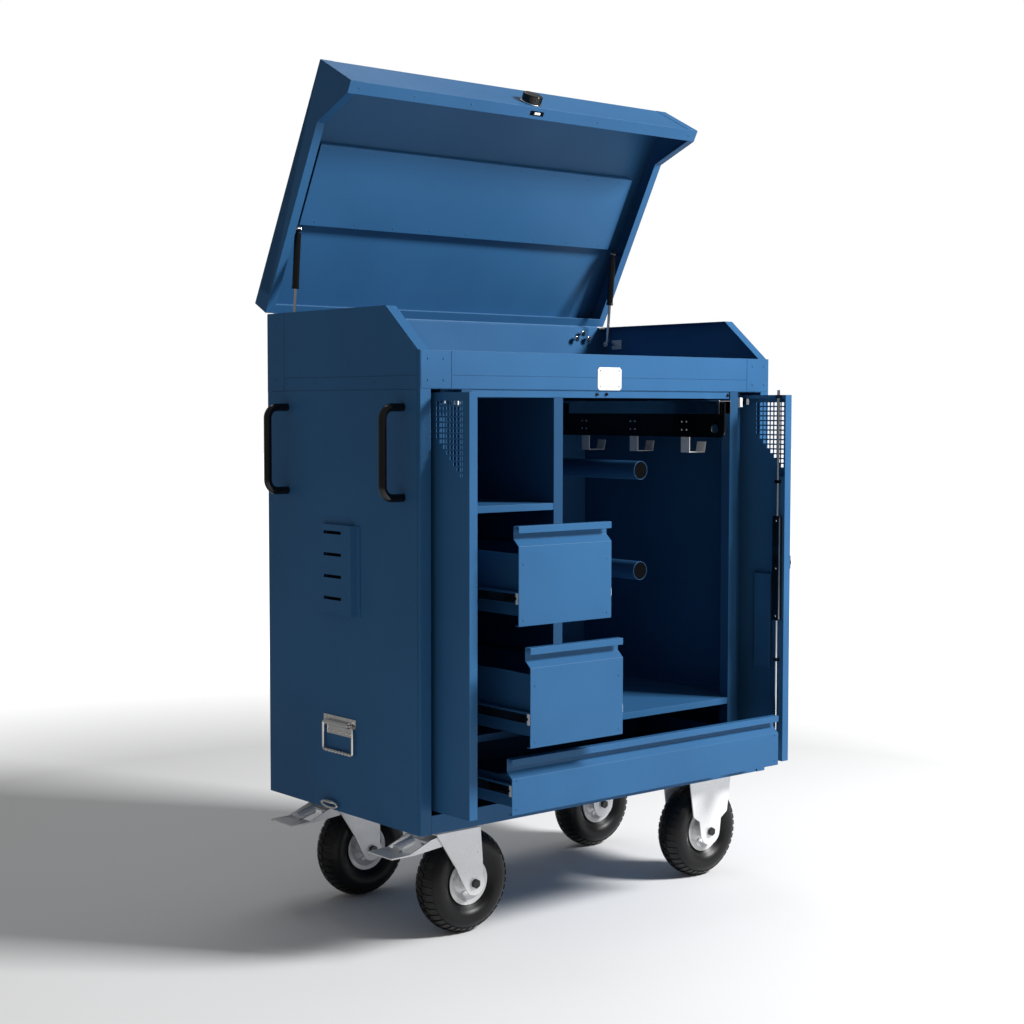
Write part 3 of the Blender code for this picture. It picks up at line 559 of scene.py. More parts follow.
for side, edge, out in (("left", -LID_X, -1), ("right", LID_X, 1)):
    outer, inner = edge - out * SEAM, edge - out * CAP_WIDTH
    top, front = LID_TOP - 2 * SEAM, LID_FRONT - 2 * SEAM
    front_cap = [(x, LID_FRONT, w) for x, w in rectangle(outer, inner, LID_LOW + SEAM, top)]
    top_cap = [(x, u, LID_TOP) for x, u in rectangle(outer, inner, front, CAP_REAR)]
    rear_cap = [(edge, u, w) for u, w in rectangle(CAP_REAR, CAP_REAR_END, top, LID_SKIRT)]
    side_skin = [
        (edge, CAP_REAR_END + 2 * SEAM, top),
        (edge, front, top),
        (edge, front, LID_LOW + 2 * SEAM),
        (edge, LID_FRONT - 0.031, LID_LOW + 2 * SEAM),
        (edge, 0.5275, LID_SKIRT),
        (edge, CAP_REAR_END + 2 * SEAM, LID_SKIRT),
    ]
    top_cap.reverse()
    covers = {"front_cap": front_cap, "top_cap": top_cap, "rear_cap": rear_cap, "side_skin": side_skin}
    for name, outline in covers.items():
        lid_plate(f"lid_{name}_{side}", outline if side == "left" else outline[::-1])

LINER_FACE = 0.044
liner_columns = [-0.50 + 0.125 * step for step in range(9)]
liner_rivets = [on_lid(x, u, LINER_FACE) for x in liner_columns for u in (0.252, 0.448)]
heads("liner_rivets", liner_rivets, LID_DOWN, powder, "lid", 0.0028, 0.0011)
lip_columns = (-0.57, -0.40, -0.22, 0.22, 0.40, 0.57)
lip_rivets = [on_lid(x, LID_FRONT - 0.016, LID_LOW) for x in lip_columns]
heads("lid_lip_rivets", lip_rivets, LID_DOWN, powder, "lid", 0.0028, 0.0011)
cap_columns = (CAP_WIDTH / 2 - LID_X, LID_X - CAP_WIDTH / 2)
cap_rivets = [on_lid(x, LID_FRONT, w) for x in cap_columns for w in (-0.06, 0.02, 0.05)]
heads("lid_cap_rivets", cap_rivets, LID_FORWARD, powder, "lid", 0.0028, 0.0013)


def on_lip(half, near, far):
    """A rectangle on the lip's underside, centred across the lid."""
    return [on_lid(x, u, LID_LOW) for x, u in rectangle(-half, half, near, far)]


# The latch slot in the lip, under the knob, drawn as a thin dark plate of painted shade, with the
# tongue that stands out of it.
plate("lid_latch_slot_shade", on_lip(0.023, 0.646, 0.658), 0.0006, flat_black_and_shade, "lid", 0.0002)
plate("lid_latch_tongue", on_lip(0.010, 0.649, 0.655), 0.0030, zinc, "lid", 0.0005)


def rod_mesh(name, start, end, radius, sides=32, end_radius=None):
    """A round bar or a cone between two places."""
    start, end = Vector(start), Vector(end)
    along = end - start
    last = radius if end_radius is None else end_radius
    shape = bmesh.new()
    bmesh.ops.create_cone(
        shape, cap_ends=True, segments=sides, radius1=radius, radius2=last, depth=along.length
    )
    turn = along.to_track_quat("Z", "Y").to_matrix().to_4x4()
    shape.transform(Matrix.Translation((start + end) / 2) @ turn)
    return to_mesh(name, shape)


def rod(name, start, end, radius, finish, body=CABINET, width=0.0006, sides=32, end_radius=None):
    mesh = rod_mesh(name, start, end, radius, sides, end_radius)
    return break_edges(link(name, mesh, finish, body), width)


# The piano hinge: a thin rolled barrel along the back edge, in alternating knuckles, with one leaf
# down the cabinet's back and the other up to the lid's rear wall.
KNUCKLE = 0.050
HINGE_HALF = 0.575
BARREL = 0.0035
for number in range(23):
    start = HINGE + Vector((-HINGE_HALF + KNUCKLE * number, 0.0, 0.0))
    end = start + Vector((KNUCKLE - SEAM, 0.0, 0.0))
    owner = "lid" if number % 2 else CABINET
    rod(f"hinge_knuckle_{number:02d}", start, end, BARREL, powder, owner, 0.0004, 14)
leaf_low = HINGE + Vector((-HINGE_HALF, -0.0040, -0.030))
leaf_high = HINGE + Vector((HINGE_HALF, -0.0028, 0.0045))
block("hinge_leaf", leaf_low, leaf_high, powder, width=0.0003)
lid_leaf = [
    (-HINGE_HALF, 0.0, BARREL),
    (HINGE_HALF, 0.0, BARREL),
    (HINGE_HALF, 0.0045, 0.0090),
    (-HINGE_HALF, 0.0045, 0.0090),
]
lid_plate("hinge_lid_leaf", lid_leaf, width=0.0002)


# --- Lid knob ---------------------------------------------
# A black turning knob in moulded plastic on the lid's front face, ribbed for grip, in a plated collar.
finished("lid_knob", black, 0.0020, 3)
knob_pivot = pivot("lid_knob_turn")
forward = Vector(LID_FORWARD)
rod("lid_knob_collar", knob_pivot, knob_pivot + forward * 0.003, 0.030, chrome, "lid", 0.0008, 48)


def spread_tree():
    """Copies of the geometry, each moved by Step and turned by Turn once more than the last."""
    tree, given, wanted = group(
        "spread_copies",
        ("Count", "Int"),
        ("Step", "Vector"),
        ("Turn", "Vector"),
        ("Finish", "Material"),
    )
    inputs = {"Count": given["Count"], "Offset": given["Step"]}
    line = add_node(tree, "GeometryNodeMeshLine", {}, inputs)
    number = add_node(tree, "GeometryNodeInputIndex", {}, {})
    inputs = {0: given["Turn"], "Scale": number[0]}
    scaled = add_node(tree, "ShaderNodeVectorMath", {"operation": "SCALE"}, inputs)
    turn = add_node(tree, "FunctionNodeEulerToRotation", {}, {0: scaled[0]})
    copied(tree, line[0], given["Geometry"], turn[0], given["Finish"], wanted)
    return tree


SPREAD = spread_tree()


def spread(name, mesh, count, finish, body, step=(0, 0, 0), turn=(0, 0, 0), place=None, smooth=40):
    """Copies of a mesh drawn about the origin, which is then carried to its place by a matrix."""
    values = {"Count": count, "Step": step, "Turn": turn, "Finish": finish.material}
    piece = grown(name, mesh, SPREAD, values, finish, body, smooth)
    if place is not None:
        piece.data.transform(place)
    return piece


face_forward = forward.to_track_quat("Z", "Y").to_matrix().to_4x4()
rib = box_mesh("knob_rib", (0.0252, -0.0012, 0.006), (0.0272, 0.0012, 0.022))
knob_place = Matrix.Translation(knob_pivot) @ face_forward
RIBS = 24
spread("lid_knob_ribs", rib, RIBS, black, "lid_knob", turn=(0, 0, tau / RIBS), place=knob_place)


# --- Gas struts -------------------------------------------
# A black painted cylinder with a bright piston rod, a pin through the eye at each end, and a plated
# bracket that holds the lower pin to the side.
MOUTH = 0.1193
EYE = 0.2693
TO_WALL = 0.040
BALL_REACH = 0.009
BALL = 0.0040
FOOT_HALF = Vector((0.0018, 0.020, 0.014))
for side in ("left", "right"):
    finished(f"strut_tube_{side}", black, 0.0006)
    finished(f"strut_rod_{side}", chrome, 0.0004)
    foot = pivot(f"strut_{side}_swing")
    along = -Vector(joint(f"strut_{side}_stroke")["axis"])
    inward = Vector((1.0 if side == "left" else -1.0, 0.0, 0.0))
    mouth = foot + along * MOUTH
    seal = mouth - along * 0.003, mouth + along * 0.004
    rod(f"strut_seal_{side}", *seal, 0.0098, black, f"strut_tube_{side}", 0.0008)
    wall, tip = foot - inward * TO_WALL, foot + inward * BALL_REACH
    rod(f"strut_foot_ball_{side}", wall, tip, BALL, chrome, width=0.0005)
    nut = foot + inward * 0.0055
    rod(f"strut_foot_nut_{side}", nut, tip, 0.0070, zinc, width=0.0005, sides=6)
    eye = foot + along * EYE
    eye_ball = eye - inward * TO_WALL, eye + inward * BALL_REACH
    rod(f"strut_eye_ball_{side}", *eye_ball, BALL, chrome, "lid", 0.0005)
    block(f"strut_foot_plate_{side}", wall - FOOT_HALF, wall + FOOT_HALF, zinc, width=0.0005)


# --- Pocket doors -----------------------------------------
# Folded pan doors that slide back beside the locker. A triangle of square holes near the free edge
# airs the locker when they are shut.
HOLE = 0.009
PITCH = 0.0128
HOLE_ROWS = 14
HOLE_COLUMNS = 8
HOLE_TOP = 1.0205
HOLE_FRONT = 0.030
NOTCH_LOW, NOTCH_HIGH = 0.826, 1.036


def door_holes(name, x_low, x_high):
    """Cutters for the holes: a full column near the free edge, and each next one a row shorter."""
    door_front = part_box(name)[0].y - CORNER.y
    shape = bmesh.new()
    for column in range(HOLE_COLUMNS):
        y = door_front + HOLE_FRONT + PITCH * column
        for row in range(HOLE_ROWS - column):
            z = HOLE_TOP - PITCH * row
            place = Matrix.Translation(at((x_low + x_high) / 2, y, z))
            size = Matrix.Diagonal((x_high - x_low, HOLE, HOLE, 1.0))
            bmesh.ops.create_cube(shape, size=1.0, matrix=place @ size)
    return to_mesh(name + "_holes", shape)


def cut_away(piece, mesh):
    """Cuts a mesh out of a piece."""
    cutter = bpy.data.objects.new("cutter", mesh)
    bpy.context.scene.collection.objects.link(cutter)
    cut = piece.modifiers.new("cut", "BOOLEAN")
    cut.operation = "DIFFERENCE"
    cut.solver = "EXACT"
    cut.object = cutter
    baked(piece)
    bpy.data.objects.remove(cutter)
    return piece


def perforated(name, x_low, x_high, rim_low, rim_high):
    """A door with its holes, and with its inner rim notched behind them so that air gets through."""
    door = link(name + "_finished", merged_copy(name), powder, name)
    cut_away(door, door_holes(name, x_low, x_high))
    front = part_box(name)[0].y - CORNER.y
    notch = at(rim_low, front + 0.004, NOTCH_LOW), at(rim_high, front + 0.150, NOTCH_HIGH)
    cut_away(door, box_mesh("notch", *notch))
    break_edges(door, 0.0005)
    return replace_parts(door, name)


right_door_low, right_door_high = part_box("door_right")
left_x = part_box("door_left")[0].x - CORNER.x
right_x = right_door_high.x - CORNER.x
perforated("door_left", left_x - 0.002, left_x + 0.004, left_x + 0.006, left_x + 0.026)
perforated("door_right", right_x - 0.004, right_x + 0.002, right_x - 0.026, right_x - 0.006)

# A pressed stiffener on each door's inner face, and the rivets along its free edge.
for name, x, out in (("door_left", left_x + 0.002, 1), ("door_right", right_x - 0.002, -1)):
    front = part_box(name)[0].y - CORNER.y
    low, high = sorted((x - out * 0.0004, x + out * 0.010))
    stiffener = at(low, front + 0.060, 0.300), at(high, front + 0.120, 0.560)
    block(f"{name}_stiffener", *stiffener, powder, name, 0.004)
    rivets = [at(x - out * 0.0021, front + 0.012, z) for z in (0.090, 0.330, 0.570, 0.810, 1.020)]
    facing = LEFT if out > 0 else RIGHT
    heads(f"{name}_edge_rivets", rivets, facing, powder, name, 0.0026, 0.001)



def span(side, near, far):
    """Two distances across the chest, mirrored for a piece on its left."""
    return (near, far) if side == "right" else (WIDTH - far, WIDTH - near)


# White nylon ends on the door slides, and the black slide bars behind them.
for side in ("left", "right"):
    near, far = span(side, 1.083, 1.093)
    block(f"slide_end_{side}", at(near, -0.004, 1.012), at(far, 0.020, 1.038), satin, width=0.0015)
    near, far = span(side, 1.1215, 1.1260)
    block(f"slide_bar_{side}", at(near, 0.010, 1.020), at(far, 0.640, 1.034), black, width=0.001)
    block(f"slide_tip_{side}", at(near, 0.003, 1.019), at(far, 0.0095, 1.035), satin, width=0.001)


# --- Rod lock ---------------------------------------------
# A black lock case on the right door with a plated cover edge, two plated rods that run in guides to
# the rail and the base, and a turning knob outside.
finished("lock_case", black, 0.0015, 3)
finished("lock_knob", black, 0.0012, 3)
for name in ("lock_rod_upper", "lock_rod_lower"):
    finished(name, chrome, 0.0006)
case_low, case_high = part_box("lock_case")
edge_low = (case_low.x - 0.0006, case_low.y - 0.0004, case_low.z + 0.004)
edge_high = (case_low.x + 0.0010, case_low.y + 0.0030, case_high.z - 0.004)
block("lock_case_edge", edge_low, edge_high, chrome, "door_right", 0.0003)
case_middle = (case_low + case_high) / 2
screw_rows = (case_low.z + 0.012, case_middle.z, case_high.z - 0.012)
case_screws = [Vector((case_low.x, case_middle.y, z)) for z in screw_rows]
heads("lock_case_screws", case_screws, LEFT, chrome, "door_right", 0.003, 0.0012)
rod_low, rod_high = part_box("lock_rod_upper")
rod_middle = (rod_low + rod_high) / 2
GUIDES = (0.110, 0.330, 0.812, 1.0405)
GUIDE_HALF = 0.0045
for number, z in enumerate(GUIDES):
    low = Vector((rod_low.x - 0.0015, rod_low.y - 0.003, CORNER.z + z - GUIDE_HALF))
    high = Vector((right_door_low.x, rod_high.y + 0.003, CORNER.z + z + GUIDE_HALF))
    guide = link(f"lock_guide_{number}", box_mesh("guide", low, high), black, "door_right")
    bore_low = Vector((*rod_middle.xy, low.z - 0.01))
    bore_high = Vector((*rod_middle.xy, high.z + 0.01))
    cut_away(guide, rod_mesh("bore", bore_low, bore_high, 0.0044, 24))
    break_edges(guide, 0.0004)
knob_low, knob_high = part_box("lock_knob")
knob_middle = (knob_low + knob_high) / 2
rosette = Vector((right_door_high.x, knob_middle.y, knob_middle.z))
rosette_face = rosette + Vector((0.0016, 0, 0))
rod("lock_rosette", rosette, rosette_face, 0.0185, chrome, "door_right", 0.0005, 40)


# --- Drawers ----------------------------------------------
# Folded fronts with a grip along the top, riveted to a box that runs on two black ball-bearing
# runners with bright ends. The boxes are coated inside and out.
RIVET_INSET = 0.014
RUNNER_RISE = 0.030
RUNNER_END = 0.030
for name in ("upper", "lower", "bottom"):
    body = f"drawer_{name}"
    finished(f"{body}_front", powder, 0.0009, 3)
    # The box wears the darker blue, painted shade for its dim sides.
    finished(f"{body}_box", shaded_powder, 0.0006)
    front_low, front_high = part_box(f"{body}_front")
    box_low, box_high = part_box(f"{body}_box")
    columns = (front_low.x + RIVET_INSET, front_high.x - RIVET_INSET)
    rows = (front_low.z + RIVET_INSET, front_low.z + (front_high.z - front_low.z) * 0.62)
    rivets = [Vector((x, front_low.y, z)) for x in columns for z in rows]
    heads(f"{body}_front_rivets", rivets, FORWARD, powder, body, 0.0028, 0.0012)
    runner_z = box_low.z + RUNNER_RISE
    catch_low = (front_high.x - 0.001, front_low.y + 0.004, runner_z + 0.002)
    catch_high = (front_high.x + 0.0045, front_low.y + 0.018, runner_z + 0.022)
    block(f"{body}_catch", catch_low, catch_high, satin, body, 0.0012)
    for side, edge, out in (("left", box_low.x, -1), ("right", box_high.x, 1)):
        near, far = sorted((edge + out * 0.0001, edge - out * 0.0135))
        low = (near, box_low.y - 0.0005, runner_z - 0.002)
        high = (far, box_low.y + RUNNER_END, runner_z + 0.026)
        block(f"{body}_runner_end_{side}", low, high, zinc, body, 0.0015)
        start = Vector((edge + out * 0.0001, box_low.y + RUNNER_END, runner_z + 0.012))
        pins = [start, start + Vector((0.0, 0.018, 0.0))]
        facing = LEFT if out < 0 else RIGHT
        heads(f"{body}_runner_pins_{side}", pins, facing, flat_black_and_shade, body, 0.0042, 0.0006)
        track_low, track_high = sorted((edge + out * 0.0002, edge - out * 0.0030))
        low = (track_low, box_low.y + RUNNER_END + 0.002, runner_z + 0.001)
        high = (track_high, box_high.y - 0.022, runner_z + 0.023)
        block(f"{body}_runner_{side}", low, high, black, body, 0.0010)


# --- Hanging tubes ----------------------------------------
# Two round tubes that stand out of the back, coated, each with a black cap pressed into its end, a
# rolled ring round the cap, and a welded flange at the wall.
RING = 0.0246
for name in ("hanging_tube_upper", "hanging_tube_lower"):
    # The tube, its ring and its flange wear the darker blue of painted shade.
    finished(name, shaded_powder, 0.0012, 3)
    low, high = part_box(name)
    middle = (low + high) / 2
    front = Vector((middle.x, low.y, middle.z))
    cap = front - Vector((0, 0.0035, 0)), front + Vector((0, 0.004, 0))
    rod(f"{name}_cap", *cap, 0.0232, flat_black_and_shade, width=0.0012)
    shape = bmesh.new()
    size = {"radius1": RING, "radius2": RING, "depth": 0.0040}
    bmesh.ops.create_cone(shape, cap_ends=False, segments=64, **size)
    turn = Matrix.Rotation(pi / 2, 4, "X")
    shape.transform(Matrix.Translation(front - Vector((0, 0.0012, 0))) @ turn)
    ring = link(f"{name}_ring", to_mesh("ring", shape), shaded_powder, CABINET, 60)
    wall = ring.modifiers.new("wall", "SOLIDIFY")
    wall.thickness = 0.0016
    baked(ring)
    back = Vector((middle.x, high.y, middle.z))
    rod(f"{name}_flange", back - Vector((0, 0.004, 0)), back, 0.038, shaded_powder, width=0.001)


# --- Hook rail --------------------------------------------
# A telescopic rail under the tray: a plated channel runs on a fixed track, and a black bar with three
# bent steel hooks runs in the channel. The bar's end has a finger hole.
finished("hook_rail_slide", chrome, 0.0006)
finished("hook_rail_bar", black, 0.0010, 3)
finished("hook_rail_track", black, 0.0008)
bar_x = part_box("hook_rail_bar")[0].x
for number in (1, 2, 3):
    name = f"hook_{number}"
    finished(name, zinc, 0.0008, 3)
    low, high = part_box(name)
    middle_y = (low.y + high.y) / 2
    places = [(middle_y + dy, high.z - dz) for dy in (-0.009, 0.009) for dz in (0.012, 0.034)]
    screws = [Vector((low.x + 0.0025, y, z)) for y, z in places]
    heads(f"{name}_screws", screws, RIGHT, chrome, "hook_carriage", 0.003, 0.0012)
    nuts = [Vector((bar_x, y, z)) for y, z in places]
    heads(f"{name}_nuts", nuts, LEFT, chrome, "hook_carriage", 0.0032, 0.0016)

# Rubber bumpers under the rail, for the doors.
for number, x in enumerate((0.560, 0.592, 1.040)):
    start = at(x, 0.0030, 1.044)
    face = start - Vector((0, 0.0045, 0))
    rod(f"door_bumper_{number}", start, face, 0.0042, black, width=0.0014)


# --- Push handles -----------------------------------------
# Two bow handles for pushing the chest, bent from 20 mm steel bar and enamelled gloss black. Each leg
# is tapped and bolted from inside the side sheet.
def tube(name, points, radius, finish, body=CABINET, rings=6):
    """A bent tube along a path, with its corners already rounded in the path."""
    curve = bpy.data.curves.new(name, "CURVE")
    curve.dimensions = "3D"
    curve.bevel_depth = radius
    curve.bevel_resolution = rings
    curve.use_fill_caps = True
    spline = curve.splines.new("POLY")
    spline.points.add(len(points) - 1)
    for point, place in zip(spline.points, points):
        point.co = (*place, 1.0)
    guide = bpy.data.objects.new(name, curve)
    bpy.context.scene.collection.objects.link(guide)
    bpy.context.view_layer.update()
    graph = bpy.context.evaluated_depsgraph_get()
    mesh = bpy.data.meshes.new_from_object(guide.evaluated_get(graph))
    bpy.data.objects.remove(guide)
    shape = bmesh.new()
    shape.from_mesh(mesh)
    bmesh.ops.remove_doubles(shape, verts=shape.verts, dist=0.00001)
    bmesh.ops.recalc_face_normals(shape, faces=shape.faces)
    return link(name, to_mesh(name, shape), finish, body, 50)


def rounded(points, radius, steps=8):
    """A path with each inner corner turned into an arc."""
    points = [Vector(point) for point in points]
    path = [points[0]]
    for before, corner, after in zip(points, points[1:], points[2:]):
        first, second = (before - corner).normalized(), (after - corner).normalized()
        half = first.angle(second) / 2
        reach = radius / (sin(half) / cos(half))
        centre = corner + (first + second).normalized() * (radius / sin(half))
        start, end = corner + first * reach - centre, corner + second * reach - centre
        for step in range(steps + 1):
            path.append(centre + start.slerp(end, step / steps) * radius)
    return path + [points[-1]]


BAR = 0.010
BEND = 0.028
for name in ("push_handle_front", "push_handle_rear"):
    low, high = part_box(name)
    y = (low.y + high.y) / 2
    grip_x = low.x + BAR
    bottom, top = low.z + BAR, high.z - BAR
    corners = [(CORNER.x, y, bottom), (grip_x, y, bottom), (grip_x, y, top), (CORNER.x, y, top)]
    handle = tube(name + "_finished", rounded(corners, BEND, 12), BAR, black, rings=8)
    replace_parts(handle, name)


# --- Vent cover -------------------------------------------
# A pressed cover over the side vents with four slots, riveted on its front flange.
finished("vent_cover", powder, 0.0012, 3)
vent_low, vent_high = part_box("vent_cover")
FITTING_FACE = CORNER.x - 0.003
vent_rows = (vent_low.z + 0.02, vent_high.z - 0.02)
vent_rivets = [Vector((FITTING_FACE, vent_low.y + 0.010, z)) for z in vent_rows]
heads("vent_rivets", vent_rivets, LEFT, powder, CABINET, 0.003, 0.0012)
SLOT_LOW = 0.5315
SLOT_PITCH = 0.0547
SLOT_HALF = 0.0075
# The four slots are thin dark plates on the cover: painted shade where the slots are.
for number in range(4):
    z = SLOT_LOW + SLOT_PITCH * number
    shade = at(-0.0062, 0.299, z - SLOT_HALF), at(-0.0057, 0.379, z + SLOT_HALF)
    block(f"vent_slot_painted_shade_{number}", *shade, flat_black_and_shade, width=0.0002)


# --- Drop handle ------------------------------------------
# A bright pressed plate with a rolled eye, held by nine rivets, and a bail bent from plated wire that
# drops from the eye. The bail's grip is ribbed.
finished("chest_handle_plate", chrome, 0.0005)
bail_pivot = pivot("bail_swing")
bail_low, bail_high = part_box("chest_handle_bail")
WIRE = 0.0035
EYE_HALF = 0.044
reach = (bail_high.y - bail_low.y) / 2 - WIRE
drop = bail_low.z + WIRE
half_route = [(EYE_HALF, bail_pivot.z), (reach, bail_pivot.z), (reach, drop)]
bail_route = [(bail_pivot.x, bail_pivot.y - y, z) for y, z in half_route]
bail_route += [(bail_pivot.x, bail_pivot.y + y, z) for y, z in reversed(half_route)]
bail = tube("bail_finished", rounded(bail_route, 0.006, 6), WIRE, chrome, "chest_handle_bail")
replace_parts(bail, "chest_handle_bail")
shape = bmesh.new()
bmesh.ops.create_uvsphere(shape, u_segments=16, v_segments=10, radius=0.0056)
bmesh.ops.scale(shape, vec=(0.85, 1.25, 0.85), verts=shape.verts)
grip = to_mesh("grip", shape)
grip_start = Matrix.Translation((bail_pivot.x, bail_pivot.y - 0.049, drop))
GRIP_PITCH = (0, 0.014, 0)
spread("bail_grip", grip, 8, chrome, "chest_handle_bail", GRIP_PITCH, place=grip_start)
handle_low, handle_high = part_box("chest_handle_plate")
rivet_rows = (
    (handle_high.z - 0.006, (-0.058, -0.034, 0.020, 0.054)),
    (handle_low.z + 0.008, (-0.046, -0.030, 0.0, 0.030, 0.046)),
)
rivets = [Vector((FITTING_FACE, bail_pivot.y + dy, z)) for z, row in rivet_rows for dy in row]
heads("chest_handle_rivets", rivets, LEFT, chrome, CABINET, 0.0036, 0.0020)

# A small bright tie-down ring at the foot of the left side, held by a staple.
ring_turns = [tau * step / 24 for step in range(25)]
ring_path = [at(-0.009, 0.371 + 0.034 * cos(a), 0.015 + 0.0075 * sin(a)) for a in ring_turns]
tube("tie_ring", ring_path, 0.0030, chrome)
staple = ((0.0, 0.352), (-0.014, 0.352), (-0.014, 0.390), (0.0, 0.390))
tube("tie_staple", rounded([at(x, y, 0.022) for x, y in staple], 0.005, 5), 0.0030, chrome)


# --- Lamp clips -------------------------------------------
# Three bright spring clips in a small triangle on the inner face of the back: turned steel, plated,
# each on a stem riveted through the sheet.
CLIPS = ((1.068, 1.216), (1.092, 1.232), (1.116, 1.217))
for number, (x, z) in enumerate(CLIPS):
    start = at(x, DEPTH - 0.0025, z)
    tip = start - Vector((0, 0.012, 0))
    rod(f"clip_stem_{number}", start, tip, 0.0050, chrome, width=0.0010)
    rod(f"clip_head_{number}", tip, tip - Vector((0, 0.007, 0)), 0.0085, chrome, width=0.0025)


# --- Castor forks -----------------------------------------
# Pressed steel forks, bright zinc. The two left ones swivel on a ball race under a bolted plate, and
# each carries a foot brake. The axle is a black hexagon bolt with a washer.
BOLT_INSET = 0.014
EAR_FACE = 0.0540
RACE = 0.044
for place in ("front", "rear"):
    for node in ("castor_head", "swivel_fork", "fixed_fork"):
        finished(f"{node}_{place}", zinc, 0.0012, 3)
    finished(f"brake_pedal_{place}", zinc, 0.0008, 3)
    head_low, head_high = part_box(f"castor_head_{place}")
    columns = (head_low.x + BOLT_INSET, head_high.x - BOLT_INSET)
    rows = (head_low.y + BOLT_INSET, head_high.y - BOLT_INSET)
    for number, (x, y) in enumerate((x, y) for x in columns for y in rows):
        top = Vector((x, y, head_high.z - 0.006))
        tip = top - Vector((0, 0, 0.006))
        rod(f"head_bolt_{place}_{number}", top, tip, 0.0075, chrome, sides=6)
    race = pivot(f"castor_{place}_swivel")
    shape = bmesh.new()
    size = {"radius1": RACE, "radius2": RACE, "depth": 0.0050}
    bmesh.ops.create_cone(shape, cap_ends=True, segments=64, **size)
    shape.transform(Matrix.Translation(race + Vector((0, 0, 0.0035))))
    break_edges(link(f"race_{place}", to_mesh("race", shape), zinc, CABINET), 0.0018, 3)
    king = race + Vector((0, 0, -0.004))
    king_end = king - Vector((0, 0, 0.010))
    rod(f"king_pin_{place}", king, king_end, 0.011, zinc, f"castor_{place}", 0.0008, 6)
    for side in ("left", "right"):
        hub = pivot(f"wheel_{place}_{side}_roll")
        owner = f"castor_{place}" if side == "left" else CABINET
        for out in (-1, 1):
            ear = hub + Vector((0, out * EAR_FACE, 0))
            label = f"{place}_{side}_{'in' if out > 0 else 'out'}"
            washer_end = ear + Vector((0, out * 0.0012, 0))
            rod(f"axle_washer_{label}", ear, washer_end, 0.0150, zinc, owner, 0.0004)
            bolt_end = ear + Vector((0, out * 0.0085, 0))
            rod(f"axle_bolt_{label}", ear, bolt_end, 0.0122, black, owner, 0.0010, 6)


# --- Wheels -----------------------------------------------
# Pneumatic tyres, 260 mm, with a blocky ring of tread and a bead line, on pressed two-part rims with a
# rolled lip, a dished web and a valve.
rubber = Finish("tyre_rubber", "tyre_rubber", Specular_IOR_Level=0.30)
rubber.colour(rubber.noise(14.0, 5.0), (0.0030, 0.0030, 0.0034), (0.0060, 0.0060, 0.0064))
rubber.rough(rubber.noise(35.0, 4.0) * 0.18 + 0.30)
rubber.bump(rubber.noise(420.0, 3.0), 0.00012, 0.6)

WHEEL_RADIUS = 0.130
TREAD_DEPTH = 0.0022
CASING = WHEEL_RADIUS - TREAD_DEPTH
BEAD = 0.0555
MIDDLE = (CASING + BEAD) / 2
HALF_HEIGHT = CASING - MIDDLE
HALF_WIDTH = 0.0420
LUGS = 40
LUG_SPANS = 5


def lathe(name, section, hub, finish, body, steps=96, smooth=35):
    """A closed section of (radius, offset) swung about the axle."""
    shape = bmesh.new()
    loop = [shape.verts.new((radius, offset, 0.0)) for radius, offset in section]
    edges = [shape.edges.new(pair) for pair in zip(loop, loop[1:] + loop[:1])]
    turning = {"axis": (0, 1, 0), "cent": (0, 0, 0), "angle": tau, "use_merge": True}
    bmesh.ops.spin(shape, geom=loop + edges, steps=steps, **turning)
    bmesh.ops.remove_doubles(shape, verts=shape.verts, dist=0.00001)
    bmesh.ops.recalc_face_normals(shape, faces=shape.faces)
    shape.transform(Matrix.Translation(hub))
    return link(name, to_mesh(name, shape), finish, body, smooth)


def tyre_section():
    """A round casing with a raised line on each shoulder, open towards the rim between its beads."""
    section = [(BEAD, 0.019), (BEAD + 0.001, 0.0235)]
    for step in range(29):
        angle = radians(136 - 272 * step / 28)
        bulge = 1.0 + 0.012 * (abs(angle) > radians(66)) * (abs(angle) < radians(78))
        radius = MIDDLE + HALF_HEIGHT * cos(angle) * bulge
        section.append((radius, HALF_WIDTH * sin(angle) * bulge))
    return section + [(BEAD + 0.001, -0.0235), (BEAD, -0.019)]


def lug(offset, slant):
    """One tread block, which follows the casing's round section, drawn at the top of the wheel."""
    shape = bmesh.new()
    rows = []
    for step in range(LUG_SPANS):
        angle = radians(offset + slant * step / (LUG_SPANS - 1))
        ring = []
        for rise in (-0.0015, TREAD_DEPTH * 0.98):
            radius = MIDDLE + (HALF_HEIGHT + rise) * cos(angle)
            width = (HALF_WIDTH + rise) * sin(angle)
            for turn in (-0.052, 0.052):
                lean = turn + 0.030 * step / (LUG_SPANS - 1) * (1 if slant > 0 else -1)
                ring.append(shape.verts.new((radius * sin(lean), width, radius * cos(lean))))
        rows.append([ring[0], ring[1], ring[3], ring[2]])
    for first, second in zip(rows, rows[1:]):
        for n in range(4):
            shape.faces.new((first[n], first[(n + 1) % 4], second[(n + 1) % 4], second[n]))
    shape.faces.new(rows[0])
    shape.faces.new(list(reversed(rows[-1])))
    bmesh.ops.recalc_face_normals(shape, faces=shape.faces)
    return to_mesh("lug", shape)


RIM_LIP = 0.0590


def rim_section():
    """A drop-centre rim with rolled lips, a dished web and a hub tube."""
    half = [
        (0.0102, 0.034),
        (0.0180, 0.034),
        (0.0190, 0.033),
        (0.0195, 0.014),
        (0.0230, 0.010),
        (0.0330, 0.009),
        (0.0400, 0.013),
        (0.0445, 0.021),
        (0.0480, 0.0275),
        (0.0530, 0.0290),
        (0.0575, 0.0300),
        (RIM_LIP, 0.0290),
        (RIM_LIP, 0.0275),
        (0.0570, 0.0265),
        (0.0545, 0.0240),
        (0.0540, 0.0180),
    ]
    return half + [(radius, -offset) for radius, offset in reversed(half)]


